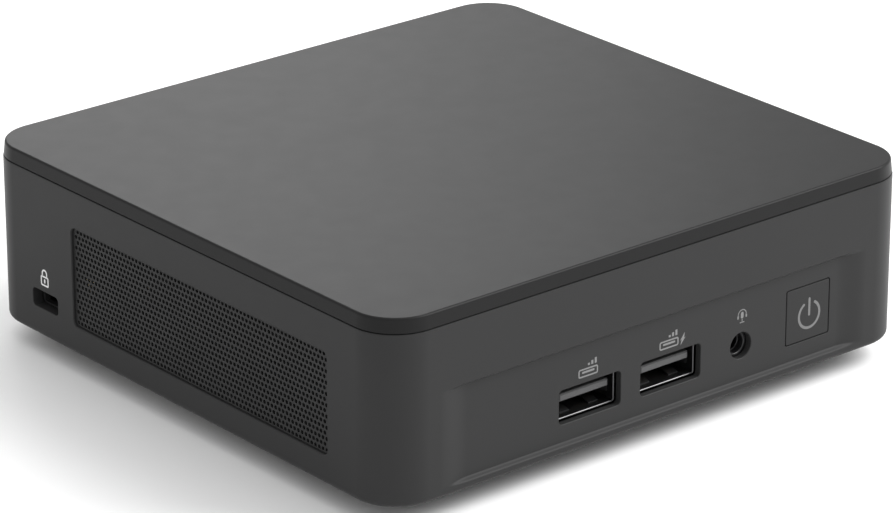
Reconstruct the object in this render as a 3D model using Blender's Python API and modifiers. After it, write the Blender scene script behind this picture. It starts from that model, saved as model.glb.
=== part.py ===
"""A slim mini PC: a rounded square housing on four rubber feet, with everything it holds.

Metres, +Z up. The front, with its ports and power button, faces -Y. The origin is on the
surface that the feet stand on, under the middle of the housing.
"""

import math

import bmesh
import bpy
from mathutils import Matrix

MM = 0.001

# Driving dimensions
BODY_WIDTH = 117 * MM
BODY_DEPTH = 112 * MM
BODY_HEIGHT = 37 * MM
FOOT_DROP = 3.9 * MM  # how far the feet stand below the housing's lower edge
LID_THICKNESS = 2.4 * MM
SEAM = 0.3 * MM  # the gap between the lid and the housing
CORNER = 8.5 * MM
WALL = 2 * MM
GAP = 0.3 * MM  # between pieces that rest on each other
CLOSE = 0.1 * MM  # between small pieces that sit in each other

# Heights worked out from them
BODY_BOTTOM = FOOT_DROP
LID_TOP = BODY_HEIGHT
LID_BOTTOM = LID_TOP - LID_THICKNESS
BODY_TOP = LID_BOTTOM - SEAM
HALF_WIDTH = BODY_WIDTH / 2
HALF_DEPTH = BODY_DEPTH / 2
INNER_X = HALF_WIDTH - WALL
INNER_Y = HALF_DEPTH - WALL

# The shallow recess across the front
RECESS_DEPTH = 0.8 * MM
RECESS_LOW = 6.15 * MM
RECESS_HIGH = 22.3 * MM
RECESS_HALF = 48.5 * MM
RECESS_RUNOUT = 5 * MM
PORT_FACE = -HALF_DEPTH + RECESS_DEPTH

# The raised seat for a bracket, in the middle of the bottom cover
PAD_LOW = 2.6 * MM

# Front ports and the power button
PORT_Z = 12.28 * MM
FRONT_USB_X = (-14.95 * MM, 3.05 * MM)
JACK_X = 19.13 * MM
JACK_RECESS = 2.4 * MM
BUTTON_X = 34.78 * MM
BUTTON_Z = 14.2 * MM
BUTTON_SIDE = 10 * MM
BUTTON_GAP = 0.15 * MM
BUTTON_TRAVEL = 0.4 * MM

# Side vents: a pocket for the mesh panel, with windows through the wall behind it
VENT_Y = -4.95 * MM
VENT_Z = 18.4 * MM
VENT_LENGTH = 70.5 * MM
VENT_HEIGHT = 18.34 * MM
VENT_DEPTH = 1.1 * MM
MESH_COLUMNS = 34
MESH_ROWS = 3
WINDOW_COUNT = 6
WINDOW_PITCH = 11.6 * MM
WINDOW_LENGTH = 9.6 * MM
WINDOW_HEIGHT = 11.5 * MM
LOCK_Y = 38.7 * MM
LOCK_Z = 11.07 * MM

# The circuit board hangs its ports below and carries its cooler above
BOARD_LOW = 15.4 * MM
BOARD_HIGH = 17 * MM
BOARD_HALF = 53 * MM
BOARD_FRONT = -52.5 * MM
BOARD_REAR = 50 * MM
FRONT_FASTENER = (44.6 * MM, -42.2 * MM)
REAR_FASTENER = (46.9 * MM, 40 * MM)

# The rear panel and its ports, from +X to -X
PANEL_FACE = 55.7 * MM
PANEL_THICKNESS = 0.8 * MM
REAR_OPENING_HALF = 52 * MM
REAR_OPENING = (5.2 * MM, 32 * MM)
POWER_JACK_X = 45.5 * MM
USB_STACK_X = 30.5 * MM
USB_STACK_Z = 12.9 * MM
HDMI_X = (14 * MM, -43.2 * MM)
USB_C_X = (0, -11 * MM)
LAN_X = -25.4 * MM
VENT_SLOT_COUNT = 27
VENT_SLOT_PITCH = 3.6 * MM

# The blower
FAN_X = -14 * MM
FAN_Y = -6 * MM
FAN_RADIUS = 28 * MM
FAN_LOW = 20.9 * MM
FAN_HIGH = 31.2 * MM
FAN_MOUTH = 43.2 * MM
BLADE_COUNT = 25
HUB_RADIUS = 9.5 * MM
BLADE_RADIUS = 24.5 * MM


def new_collection(name):
    made = bpy.data.collections.new(name)
    bpy.context.scene.collection.children.link(made)
    return made


def clear_scene():
    for obj in list(bpy.data.objects):
        bpy.data.objects.remove(obj)


clear_scene()
PARTS = new_collection("mini_pc")
CUTTERS = new_collection("cutters")


def material(name, colour, roughness, metallic=0.0):
    made = bpy.data.materials.new(name)
    made.use_nodes = True
    shader = made.node_tree.nodes["Principled BSDF"]
    shader.inputs["Base Color"].default_value = (*colour, 1)
    shader.inputs["Roughness"].default_value = roughness
    shader.inputs["Metallic"].default_value = metallic
    return made


HOUSING_PLASTIC = material("housing_plastic", (0.062, 0.062, 0.064), 0.45)
LID_PLASTIC = material("lid_plastic", (0.055, 0.055, 0.057), 0.38)
VENT_METAL = material("vent_metal", (0.045, 0.045, 0.047), 0.5, 0.4)
RUBBER = material("foot_rubber", (0.02, 0.02, 0.02), 0.85)
STEEL = material("port_steel", (0.55, 0.56, 0.58), 0.3, 1.0)
BLACK_STEEL = material("cover_steel", (0.03, 0.03, 0.032), 0.5, 0.6)
BLACK_PLASTIC = material("port_plastic", (0.015, 0.015, 0.016), 0.5)
SCREW_STEEL = material("screw_steel", (0.3, 0.3, 0.31), 0.35, 1.0)
BRASS = material("standoff_brass", (0.7, 0.5, 0.2), 0.35, 1.0)
BOARD_GREEN = material("board_laminate", (0.01, 0.03, 0.06), 0.5)
CHIP = material("chip_resin", (0.02, 0.02, 0.02), 0.6)
COPPER = material("cooler_copper", (0.75, 0.36, 0.2), 0.3, 1.0)
ALUMINIUM = material("fin_aluminium", (0.7, 0.71, 0.72), 0.35, 1.0)
CLEAR = material("light_guide_clear", (0.85, 0.87, 0.88), 0.15)


def finish(name, mesh, finish_material, location=(0, 0, 0), rotation=(0, 0, 0)):
    """One named piece of the object."""
    obj = bpy.data.objects.new(name, mesh)
    obj.location = location
    obj.rotation_euler = rotation
    obj.data.materials.clear()
    obj.data.materials.append(finish_material)
    PARTS.objects.link(obj)
    return obj


def block(name, low, high, finish_material):
    """A box between two opposite corners."""
    size = [b - a for a, b in zip(low, high)]
    middle = [(a + b) / 2 for a, b in zip(low, high)]
    shape = bmesh.new()
    bmesh.ops.create_cube(shape, size=1)
    bmesh.ops.scale(shape, vec=size, verts=shape.verts)
    mesh = bpy.data.meshes.new(name)
    shape.to_mesh(mesh)
    shape.free()
    return finish(name, mesh, finish_material, middle)


def arc(centre, radius, start, end, steps):
    """Points from one angle to another, in degrees."""
    points = []
    for i in range(steps + 1):
        angle = math.radians(start + (end - start) * i / steps)
        points.append(
            (centre[0] + radius * math.cos(angle), centre[1] + radius * math.sin(angle))
        )
    return points


def circle(centre, radius, steps):
    return arc(centre, radius, 0, 360, steps)[:-1]


def rectangle(centre, width, height):
    x, y = centre
    w, h = width / 2, height / 2
    return [(x - w, y - h), (x + w, y - h), (x + w, y + h), (x - w, y + h)]


def rounded(centre, width, height, radius, steps=3):
    """A rectangle with round corners."""
    x, y = centre
    w, h = width / 2 - radius, height / 2 - radius
    corners = (x + w, y + h, 0), (x - w, y + h, 90), (x - w, y - h, 180), (x + w, y - h, 270)
    points = []
    for cx, cy, start in corners:
        points += arc((cx, cy), radius, start, start + 90, steps)
    return points


def slab(name, outlines, low, high, finish_material, along="Z", chamfer=0):
    """A flat plate between two heights along an axis: an outline, then the holes in it.

    Its outline is in X and Y, or in X and Z along Y, or in Y and Z along X. With a chamfer,
    the outline is pulled in by it at both faces.
    """
    curve = bpy.data.curves.new(name, "CURVE")
    curve.dimensions = "2D"
    curve.fill_mode = "BOTH"
    curve.extrude = (high - low) / 2 - chamfer
    curve.bevel_depth = chamfer
    curve.offset = -chamfer
    curve.bevel_resolution = 0
    for outline in outlines:
        spline = curve.splines.new("POLY")
        spline.points.add(len(outline) - 1)
        for point, (u, v) in zip(spline.points, outline):
            point.co = (u, v, 0, 1)
        spline.use_cyclic_u = True
    turn = {
        "Z": Matrix.Identity(4),
        "Y": Matrix.Rotation(math.radians(90), 4, "X"),
        "X": Matrix.Rotation(math.radians(90), 4, "Z") @ Matrix.Rotation(math.radians(90), 4, "X"),
    }[along]
    middle = (low + high) / 2
    place = {"Z": (0, 0, middle), "Y": (0, middle, 0), "X": (middle, 0, 0)}[along]
    guide = bpy.data.objects.new(name, curve)
    guide.matrix_world = Matrix.Translation(place) @ turn
    return as_solid(guide, finish_material)


def as_solid(guide, finish_material):
    """The curve object's mesh, with its caps welded on, in an object of the same name and place."""
    name = guide.name
    place = guide.matrix_world.copy()
    PARTS.objects.link(guide)
    bpy.context.view_layer.update()
    graph = bpy.context.evaluated_depsgraph_get()
    mesh = bpy.data.meshes.new_from_object(guide.evaluated_get(graph))
    bpy.data.objects.remove(guide)
    shape = bmesh.new()
    shape.from_mesh(mesh)
    bmesh.ops.remove_doubles(shape, verts=shape.verts, dist=0.002 * MM)
    bmesh.ops.recalc_face_normals(shape, faces=shape.faces)
    shape.to_mesh(mesh)
    shape.free()
    obj = finish(name, mesh, finish_material)
    obj.name = name
    obj.matrix_world = place
    return obj


def turned(name, profile, location, finish_material, steps=16, ring=False, rotation=(0, 0, 0)):
    """A solid of revolution. The profile holds (radius, height) points.

    It runs down the outer side. A ring's profile is a closed loop clear of the axis.
    """
    points = [(radius, 0, height) for radius, height in profile]
    edges = [(i, i + 1) for i in range(len(points) - 1)]
    if ring:
        edges.append((len(points) - 1, 0))
    mesh = bpy.data.meshes.new(name)
    mesh.from_pydata(points, edges, [])
    obj = finish(name, mesh, finish_material, location, rotation)
    screw = obj.modifiers.new("turn", "SCREW")
    screw.steps = steps
    screw.render_steps = steps
    screw.use_merge_vertices = True
    screw.merge_threshold = 0.01 * MM
    screw.use_smooth_shade = False
    return obj


def tube(name, points, radius, finish_material):
    """A round bar along a smooth path."""
    curve = bpy.data.curves.new(name, "CURVE")
    curve.dimensions = "3D"
    curve.bevel_depth = radius
    curve.bevel_resolution = 2
    curve.use_fill_caps = True
    spline = curve.splines.new("POLY")
    spline.points.add(len(points) - 1)
    for point, place in zip(spline.points, points):
        point.co = (*place, 1)
    guide = bpy.data.objects.new(name, curve)
    return as_solid(guide, finish_material)


def boolean(target, tool, operation):
    for users in list(tool.users_collection):
        users.objects.unlink(tool)
    CUTTERS.objects.link(tool)
    tool.hide_render = True
    tool.display_type = "WIRE"
    step = target.modifiers.new(tool.name, "BOOLEAN")
    step.operation = operation
    step.object = tool


def cut(target, tool):
    boolean(target, tool, "DIFFERENCE")


def join(target, tool):
    boolean(target, tool, "UNION")


def fastener_places():
    """The four corners where a foot, its screw and its standoff share an axis."""
    for end, (x, y) in (("front", FRONT_FASTENER), ("rear", REAR_FASTENER)):
        yield f"{end}_left", -x, y
        yield f"{end}_right", x, y


def body_outline(inset=0, steps=8):
    return rounded(
        (0, 0), BODY_WIDTH - 2 * inset, BODY_DEPTH - 2 * inset, CORNER - inset, steps
    )


def recess_outline():
    """Seen from above: the recess eases out to the face of the housing at both ends."""
    steps = 5
    points = []
    for i in range(steps + 1):
        share = i / steps
        depth = RECESS_DEPTH * share * share * (3 - 2 * share)
        points.append((-RECESS_HALF + RECESS_RUNOUT * share, -HALF_DEPTH + depth))
    points += [(-x, y) for x, y in reversed(points)]
    clear = -HALF_DEPTH - 3 * MM
    return points + [(RECESS_HALF, clear), (-RECESS_HALF, clear)]


def cut_front(housing):
    """The recess, the two USB cut-outs, the headset hole and the button's hole."""
    slope = RECESS_DEPTH + 0.2 * MM
    outline = recess_outline()
    low, high = RECESS_LOW - slope, RECESS_HIGH + slope
    cut(housing, slab("front_recess_cut", [outline], low, high, HOUSING_PLASTIC, "Z", slope))
    through = (-HALF_DEPTH - MM, -INNER_Y + MM)
    for number, x in enumerate(FRONT_USB_X, 1):
        hole = rounded((x, PORT_Z), 13.6 * MM, 6.2 * MM, 0.8 * MM)
        cut(housing, slab(f"usb_hole_{number}_cut", [hole], *through, HOUSING_PLASTIC, "Y"))
    hole = circle((JACK_X, PORT_Z), JACK_RECESS, 20)
    cut(housing, slab("headset_hole_cut", [hole], *through, HOUSING_PLASTIC, "Y"))
    side = BUTTON_SIDE + 2 * BUTTON_GAP
    hole = rounded((BUTTON_X, BUTTON_Z), side, side, 0.4 * MM)
    cut(housing, slab("button_hole_cut", [hole], *through, HOUSING_PLASTIC, "Y"))


def window_centres():
    middle = (WINDOW_COUNT - 1) / 2
    return [VENT_Y + (i - middle) * WINDOW_PITCH for i in range(WINDOW_COUNT)]


def cut_side(housing, side, sign):
    """The mesh panel's pocket and the windows behind it."""
    outer = sign * (HALF_WIDTH + MM)
    floor = sign * (HALF_WIDTH - VENT_DEPTH)
    inner = sign * (INNER_X - MM)
    pocket = rounded((VENT_Y, VENT_Z), VENT_LENGTH, VENT_HEIGHT, MM)
    low, high = sorted((outer, floor))
    cut(housing, slab(f"{side}_pocket_cut", [pocket], low, high, HOUSING_PLASTIC, "X"))
    low, high = sorted((outer, inner))
    for number, y in enumerate(window_centres(), 1):
        window = rectangle((y, VENT_Z), WINDOW_LENGTH, WINDOW_HEIGHT)
        cut(
            housing,
            slab(f"{side}_window_{number}_cut", [window], low, high, HOUSING_PLASTIC, "X"),
        )


def make_housing():
    housing = slab(
        "main_housing",
        [body_outline(), body_outline(WALL)],
        BODY_BOTTOM,
        BODY_TOP,
        HOUSING_PLASTIC,
    )
    for name, x, y in fastener_places():
        sx, sy = math.copysign(1, x), math.copysign(1, y)
        ear_x = sorted((sx * 43.2 * MM, sx * (INNER_X + MM)))
        ear_y = sorted((y - sy * 4.4 * MM, sy * 47.5 * MM))
        low = (ear_x[0], ear_y[0], BOARD_HIGH + GAP)
        high = (ear_x[1], ear_y[1], BOARD_HIGH + 4 * MM)
        join(housing, block(f"{name}_ear_join", low, high, HOUSING_PLASTIC))
    for name, x, y in fastener_places():
        hole = circle((x, y), 1.6 * MM, 12)
        low, high = BOARD_HIGH, BOARD_HIGH + 5 * MM
        cut(housing, slab(f"{name}_ear_cut", [hole], low, high, HOUSING_PLASTIC))
    cut_front(housing)
    cut_side(housing, "left", -1)
    cut_side(housing, "right", 1)
    lock = rounded((LOCK_Y, LOCK_Z), 7.5 * MM, 3.3 * MM, 0.7 * MM)
    cut(
        housing,
        slab("lock_slot_cut", [lock], -HALF_WIDTH - MM, -INNER_X + MM, HOUSING_PLASTIC, "X"),
    )
    low, high = REAR_OPENING
    cut(
        housing,
        block(
            "rear_opening_cut",
            (-REAR_OPENING_HALF, INNER_Y - MM, low),
            (REAR_OPENING_HALF, HALF_DEPTH + MM, high),
            HOUSING_PLASTIC,
        ),
    )


def make_lid():
    """A thick plate whose side leans in a little, with a rim that drops inside the housing."""
    lean = 0.35 * MM
    lid = slab("top_lid", [body_outline(0.1 * MM)], LID_BOTTOM, LID_TOP, LID_PLASTIC)
    for vertex in lid.data.vertices:
        if vertex.co.z > 0:
            vertex.co.x *= 1 - lean / HALF_WIDTH
            vertex.co.y *= 1 - lean / HALF_DEPTH
    edge = lid.modifiers.new("edge", "BEVEL")
    edge.width = 0.25 * MM
    edge.segments = 1
    edge.limit_method = "ANGLE"
    edge.angle_limit = math.radians(60)
    rim = [body_outline(WALL + GAP, 5), body_outline(WALL + GAP + 1.4 * MM, 5)]
    join(lid, slab("lid_rim_join", rim, BODY_TOP - 1.6 * MM, LID_BOTTOM + MM, LID_PLASTIC))


def make_vent_panels():
    """The perforated panels in the pockets, with slots for their fine holes."""
    face = 0.35 * MM  # how far the panel's face lies behind the housing's
    outline = rounded(
        (VENT_Y, VENT_Z), VENT_LENGTH - 2 * CLOSE, VENT_HEIGHT - 2 * CLOSE, MM
    )
    outer, inner = HALF_WIDTH - face, HALF_WIDTH - VENT_DEPTH + CLOSE
    outlines = [outline]
    for column in range(MESH_COLUMNS):
        y = VENT_Y + (column - (MESH_COLUMNS - 1) / 2) * 2 * MM
        for row in range(MESH_ROWS):
            z = VENT_Z + (row - (MESH_ROWS - 1) / 2) * 5.6 * MM
            outlines.append(rectangle((y, z), 1.2 * MM, 4.6 * MM))
    slab("left_vent_mesh", outlines, -outer, -inner, VENT_METAL, "X")
    slab("right_vent_mesh", outlines, inner, outer, VENT_METAL, "X")


def make_lock_plate():
    """The steel plate behind the lock slot."""
    outline = rectangle((LOCK_Y, LOCK_Z), 12 * MM, 8 * MM)
    slot = rounded((LOCK_Y, LOCK_Z), 7 * MM, 3 * MM, 0.5 * MM)
    inner = -INNER_X + GAP
    slab("lock_slot_plate", [outline, slot], inner, inner + 1.2 * MM, STEEL, "X")


def make_bottom():
    """The steel cover with its bracket seat, and a foot, a captive screw and a standoff
    at each corner."""
    cover_low, cover_high = 3.2 * MM, 4.4 * MM
    outlines = [body_outline(WALL + GAP, 5)]
    for _, x, y in fastener_places():
        outlines.append(circle((x, y), 1.6 * MM, 12))
    for row in range(6):
        y = (row - 2.5) * 6 * MM
        for side in (-1, 1):
            outlines.append(rounded((side * 32 * MM, y), 18 * MM, 2 * MM, 0.9 * MM, 2))
    cover = slab("bottom_cover", outlines, cover_low, cover_high, BLACK_STEEL)
    pad = [rounded((0, 0), 36 * MM, 36 * MM, 3 * MM, 4)]
    low, high = PAD_LOW, cover_low + 0.6 * MM
    join(cover, slab("bracket_pad_join", pad, low, high, BLACK_STEEL))
    top = cover_low - CLOSE
    foot = [(5, top / MM), (5, 0.4), (4.6, 0), (3.1, 0), (3.1, 1.7), (1.7, 1.7), (1.7, top / MM)]
    for name, x, y in fastener_places():
        profile = [(r * MM, z * MM) for r, z in foot]
        turned(f"foot_{name}", profile, (x, y, 0), RUBBER, steps=20, ring=True)
        shank = 1.15
        screw = [(0, 12), (shank, 12), (shank, 1.55), (2.7, 1.55), (2.7, 0.6), (0, 0.6)]
        profile = [(r * MM, z * MM) for r, z in screw]
        turned(f"cover_screw_{name}", profile, (x, y, 0), SCREW_STEEL, steps=12)
        low, high = cover_high / MM + 0.2, BOARD_LOW / MM - 0.1
        stud = high + 5.5
        post = [(0, stud), (1.3, stud), (1.3, high), (2.75, high), (2.75, low), (1.4, low)]
        post += [(1.4, 12.6), (0, 12.6)]
        profile = [(r * MM, z * MM) for r, z in post]
        turned(f"standoff_{name}", profile, (x, y, 0), BRASS, steps=6)


def make_board():
    notch_y = 33.5 * MM
    edge = [(-BOARD_HALF, BOARD_FRONT), (BOARD_HALF, BOARD_FRONT), (BOARD_HALF, BOARD_REAR)]
    for centre, half in ((USB_STACK_X, 7.6 * MM), (LAN_X, 8.4 * MM)):
        edge += [
            (centre + half, BOARD_REAR),
            (centre + half, notch_y),
            (centre - half, notch_y),
            (centre - half, BOARD_REAR),
        ]
    edge.append((-BOARD_HALF, BOARD_REAR))
    holes = [circle((x, y), 1.6 * MM, 12) for _, x, y in fastener_places()]
    slab("mainboard", [edge, *holes], BOARD_LOW, BOARD_HIGH, BOARD_GREEN)


def socket(name, centre, width, height, wall, front, rear, radius=0, facing=-1):
    """A port's shell: a box with its mouth facing -Y (facing -1) or +Y (facing 1)."""
    shell = slab(
        name,
        [rounded(centre, width, height, max(radius, 0.3 * MM), 2)],
        front,
        rear,
        STEEL,
        "Y",
    )
    back = MM  # thickness of the closed end
    low, high = (front - MM, rear - back) if facing < 0 else (front + back, rear + MM)
    inside = rounded(
        centre, width - 2 * wall, height - 2 * wall, max(radius - wall, 0.2 * MM), 2
    )
    cut(shell, slab(f"{name}_cut", [inside], low, high, STEEL, "Y"))
    return shell


def usb_a(name, x, z, mouth, depth, facing=-1):
    """A USB-A socket: a steel shell with the contact tongue in its upper half."""
    ends = sorted((mouth, mouth - facing * depth))
    socket(f"{name}_shell", (x, z), 13.1 * MM, 5.7 * MM, 0.3 * MM, *ends, facing=facing)
    tip = mouth - facing * 0.3 * MM
    root = mouth - facing * (depth - 1.2 * MM)
    low, high = sorted((tip, root))
    block(
        f"{name}_tongue",
        (x - 5.4 * MM, low, z + 0.15 * MM),
        (x + 5.4 * MM, high, z + 1.55 * MM),
        BLACK_PLASTIC,
    )


def make_front_ports():
    mouth = PORT_FACE + 1.3 * MM
    for number, x in enumerate(FRONT_USB_X, 1):
        usb_a(f"front_usb_{number}", x, PORT_Z, mouth, 14 * MM)
    jack_mouth, jack_end = PORT_FACE + 1.3 * MM, -42 * MM
    turn = (math.radians(90), 0, 0)  # local +Z to -Y, out of the front
    bore, barrel = 1.8 * MM, JACK_RECESS - 0.15 * MM
    front, back, shoulder = -jack_mouth, -jack_end, -(-INNER_Y + GAP)
    profile = [
        (barrel, front),
        (barrel, shoulder),
        (3 * MM, shoulder),
        (3 * MM, back),
        (bore, back),
        (bore, front),
    ]
    turned("headset_jack", profile, (JACK_X, 0, PORT_Z), BLACK_PLASTIC, 20, True, turn)


def make_power_button():
    """The cap slides in by its travel, and its plunger works the switch on the board."""
    outline = rounded((BUTTON_X, BUTTON_Z), BUTTON_SIDE, BUTTON_SIDE, 0.35 * MM)
    rear = -INNER_Y + 0.8 * MM
    cap = slab("power_button_cap", [outline], PORT_FACE, rear, HOUSING_PLASTIC, "Y")
    flange = rounded((BUTTON_X, BUTTON_Z), 11.4 * MM, 11.4 * MM, 0.5 * MM)
    low, high = -INNER_Y + 0.2 * MM, rear - 0.1 * MM
    join(cap, slab("button_flange_join", [flange], low, high, HOUSING_PLASTIC, "Y"))
    switch_z = BUTTON_Z - 0.6 * MM
    stop = -50.4 * MM
    plunger = [circle((BUTTON_X, switch_z), MM, 12)]
    join(cap, slab("button_plunger_join", plunger, low, stop, HOUSING_PLASTIC, "Y"))
    block(
        "power_switch",
        (BUTTON_X - 3 * MM, stop + BUTTON_TRAVEL + CLOSE, switch_z - 1.8 * MM),
        (BUTTON_X + 3 * MM, -46.4 * MM, BOARD_LOW - CLOSE),
        BLACK_PLASTIC,
    )
    block(
        "power_light_guide",
        (BUTTON_X - 4 * MM, -52.5 * MM, BOARD_HIGH + CLOSE),
        (BUTTON_X + 4 * MM, -49.5 * MM, BOARD_HIGH + 2 * MM),
        CLEAR,
    )


def make_rear_panel():
    """The steel panel that fills the rear opening, cut for the ports and the exhaust."""
    low, high = REAR_OPENING
    centre = (0, (low + high) / 2)
    width = 2 * (REAR_OPENING_HALF - GAP)
    outlines = [rectangle(centre, width, high - low - 2 * GAP)]
    outlines.append(circle((POWER_JACK_X, 10.3 * MM), 3.6 * MM, 20))
    outlines.append(rectangle((USB_STACK_X, USB_STACK_Z), 13.6 * MM, 13.8 * MM))
    outlines.append(rectangle((LAN_X, 10.5 * MM), 14.4 * MM, 9.2 * MM))
    for x in HDMI_X:
        outlines.append(rectangle((x, 12.2 * MM), 15.2 * MM, 5.8 * MM))
    for x in USB_C_X:
        outlines.append(rounded((x, 13.4 * MM), 9.4 * MM, 3.7 * MM, 1.6 * MM, 3))
    for i in range(VENT_SLOT_COUNT):
        x = (i - (VENT_SLOT_COUNT - 1) / 2) * VENT_SLOT_PITCH
        outlines.append(rectangle((x, 26 * MM), 2.2 * MM, 9 * MM))
    front = PANEL_FACE - PANEL_THICKNESS
    slab("rear_io_panel", outlines, front, PANEL_FACE, BLACK_STEEL, "Y")


def hdmi(name, x, mouth):
    centre = (x, 12.2 * MM)
    ends = (mouth - 11 * MM, mouth)
    socket(f"{name}_shell", centre, 14.8 * MM, 5.4 * MM, 0.35 * MM, *ends, facing=1)
    block(
        f"{name}_tongue",
        (x - 5.4 * MM, ends[0] + 1.2 * MM, 11.9 * MM),
        (x + 5.4 * MM, mouth - 1.2 * MM, 13.1 * MM),
        BLACK_PLASTIC,
    )


def usb_c(name, x, mouth):
    centre = (x, 13.4 * MM)
    ends = (mouth - 9 * MM, mouth)
    socket(f"{name}_shell", centre, 9.1 * MM, 3.4 * MM, 0.35 * MM, *ends, 1.6 * MM, 1)
    block(
        f"{name}_tongue",
        (x - 3.3 * MM, ends[0] + 1.2 * MM, 13.05 * MM),
        (x + 3.3 * MM, mouth - 0.9 * MM, 13.75 * MM),
        BLACK_PLASTIC,
    )


def make_rear_ports():
    mouth = PANEL_FACE - 0.1 * MM
    behind_panel = PANEL_FACE - PANEL_THICKNESS - CLOSE
    for number, x in enumerate(HDMI_X, 1):
        hdmi(f"hdmi_{number}", x, mouth)
    for number, x in enumerate(USB_C_X, 1):
        usb_c(f"usb_c_{number}", x, mouth)
    lan = block(
        "lan_jack",
        (LAN_X - 8 * MM, 34 * MM, 5.5 * MM),
        (LAN_X + 8 * MM, behind_panel, 17.1 * MM),
        STEEL,
    )
    low, high = 37 * MM, behind_panel + MM
    mouth_shape = [rectangle((LAN_X, 11.4 * MM), 11.8 * MM, 6.8 * MM)]
    cut(lan, slab("lan_mouth_cut", mouth_shape, low, high, STEEL, "Y"))
    latch_shape = [rectangle((LAN_X, 8 * MM), 6.4 * MM, 3 * MM)]
    cut(lan, slab("lan_latch_cut", latch_shape, low, high, STEEL, "Y"))
    make_usb_stack(mouth)
    make_power_jack(mouth)


def make_usb_stack(mouth):
    """Two USB-A sockets, one over the other, in one shell."""
    rear, front = mouth - 17 * MM, mouth
    frame = slab(
        "rear_usb_stack_shell",
        [rectangle((USB_STACK_X, USB_STACK_Z), 13.1 * MM, 13.3 * MM)],
        rear,
        front,
        STEEL,
        "Y",
    )
    low = rear + 2 * MM
    for name, z in (("lower", USB_STACK_Z - 3.4 * MM), ("upper", USB_STACK_Z + 3.4 * MM)):
        shape = [rectangle((USB_STACK_X, z), 12.5 * MM, 5.2 * MM)]
        cut(frame, slab(f"usb_stack_{name}_cut", shape, low, front + MM, STEEL, "Y"))
        block(
            f"rear_usb_{name}_tongue",
            (USB_STACK_X - 5.4 * MM, low + CLOSE, z + 0.15 * MM),
            (USB_STACK_X + 5.4 * MM, front - 0.3 * MM, z + 1.55 * MM),
            BLACK_PLASTIC,
        )


def make_power_jack(mouth):
    """A barrel socket with its centre pin."""
    z = 10.3 * MM
    turn = (math.radians(-90), 0, 0)  # local +Z to +Y, out of the back
    inside, end = mouth - 9.5 * MM, mouth - 12 * MM
    place = (POWER_JACK_X, 0, z)
    body = [(0, inside), (2.75 * MM, inside), (2.75 * MM, mouth), (3.4 * MM, mouth)]
    body += [(3.4 * MM, mouth - MM), (4.3 * MM, mouth - MM), (4.3 * MM, end), (0, end)]
    turned("power_jack_body", body, place, BLACK_PLASTIC, 20, False, turn)
    pin = [(0, mouth - MM), (1.15 * MM, mouth - 1.4 * MM), (1.15 * MM, inside + CLOSE)]
    pin.append((0, inside + CLOSE))
    turned("power_jack_pin", pin, place, STEEL, 12, False, turn)


def make_cooler():
    """The processor, the copper plate on it, two heat pipes and the fins they feed."""
    cpu = (30 * MM, 2 * MM)
    low = BOARD_HIGH + CLOSE
    package = slab(
        "processor",
        [rectangle(cpu, 25 * MM, 40 * MM)],
        low,
        low + 0.6 * MM,
        BOARD_GREEN,
    )
    die = [rectangle(cpu, 10 * MM, 18 * MM)]
    join(package, slab("processor_die_join", die, low + 0.3 * MM, low + MM, CHIP))
    plate_low = low + MM + CLOSE
    plate_high = plate_low + 1.2 * MM
    plate = [rounded(cpu, 29 * MM, 44 * MM, 3 * MM, 3)]
    slab("cooler_plate", plate, plate_low, plate_high, COPPER)
    radius = 1.5 * MM
    over = plate_high + radius + CLOSE
    under = FAN_LOW - 0.3 * MM - radius
    outer = [(33, -16), (33, 20), (31.5, 26), (28, 30), (22, 34.5), (17, 39), (13, 45)]
    outer += [(9, 49), (3, 51), (-41, 51)]
    inner = [(27, -16), (27, 14), (25.5, 20), (22, 25), (16, 30), (11, 35), (7, 41)]
    inner += [(3, 45), (-3, 46.6), (-41, 46.6)]
    for name, route in (("outer", outer), ("inner", inner)):
        points = []
        for i, (x, y) in enumerate(route):
            share = min(max(i - 3, 0), 1)
            points.append((x * MM, y * MM, over + (under - over) * share))
        tube(f"heat_pipe_{name}", points, radius, COPPER)
    make_fins()


def make_fins():
    """A comb of fins on one base, between the blower's mouth and the exhaust slots."""
    left, right = -42 * MM, 14 * MM
    base, tops = FAN_LOW + 0.8 * MM, FAN_HIGH
    fin, pitch = 0.5 * MM, 2.22 * MM
    count = 26
    edge = [(left, FAN_LOW), (right, FAN_LOW), (right, base)]
    for i in reversed(range(count)):
        start = left + i * pitch
        edge += [(start + fin, base), (start + fin, tops), (start, tops), (start, base)]
    edge = [point for i, point in enumerate(edge) if i != 2]
    edge = edge[:-1]
    slab("cooling_fins", [edge], FAN_MOUTH + GAP, 54.4 * MM, ALUMINIUM, "Y")


def duct_outline(inset):
    """The blower in plan: round at the front, with straight sides to its mouth."""
    radius = FAN_RADIUS - inset
    points = arc((FAN_X, FAN_Y), radius, 180, 360, 16)
    points.append((FAN_X + radius, FAN_MOUTH))
    points.append((FAN_X - radius, FAN_MOUTH))
    return points


def blade_outline():
    """The impeller in plan: blades swept back from the hub."""
    points = []
    turn = 360 / BLADE_COUNT
    sweep, root, tip = 34, 5.2, 1.9
    steps = 2
    for blade in range(BLADE_COUNT):
        start = blade * turn
        for side in (-1, 1):
            order = range(steps + 1) if side < 0 else reversed(range(steps + 1))
            for i in order:
                share = i / steps
                radius = HUB_RADIUS + (BLADE_RADIUS - HUB_RADIUS) * share
                half = (root + (tip - root) * share) / 2
                angle = math.radians(start + sweep * share * share + side * half)
                points.append((radius * math.cos(angle), radius * math.sin(angle)))
    return points


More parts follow.
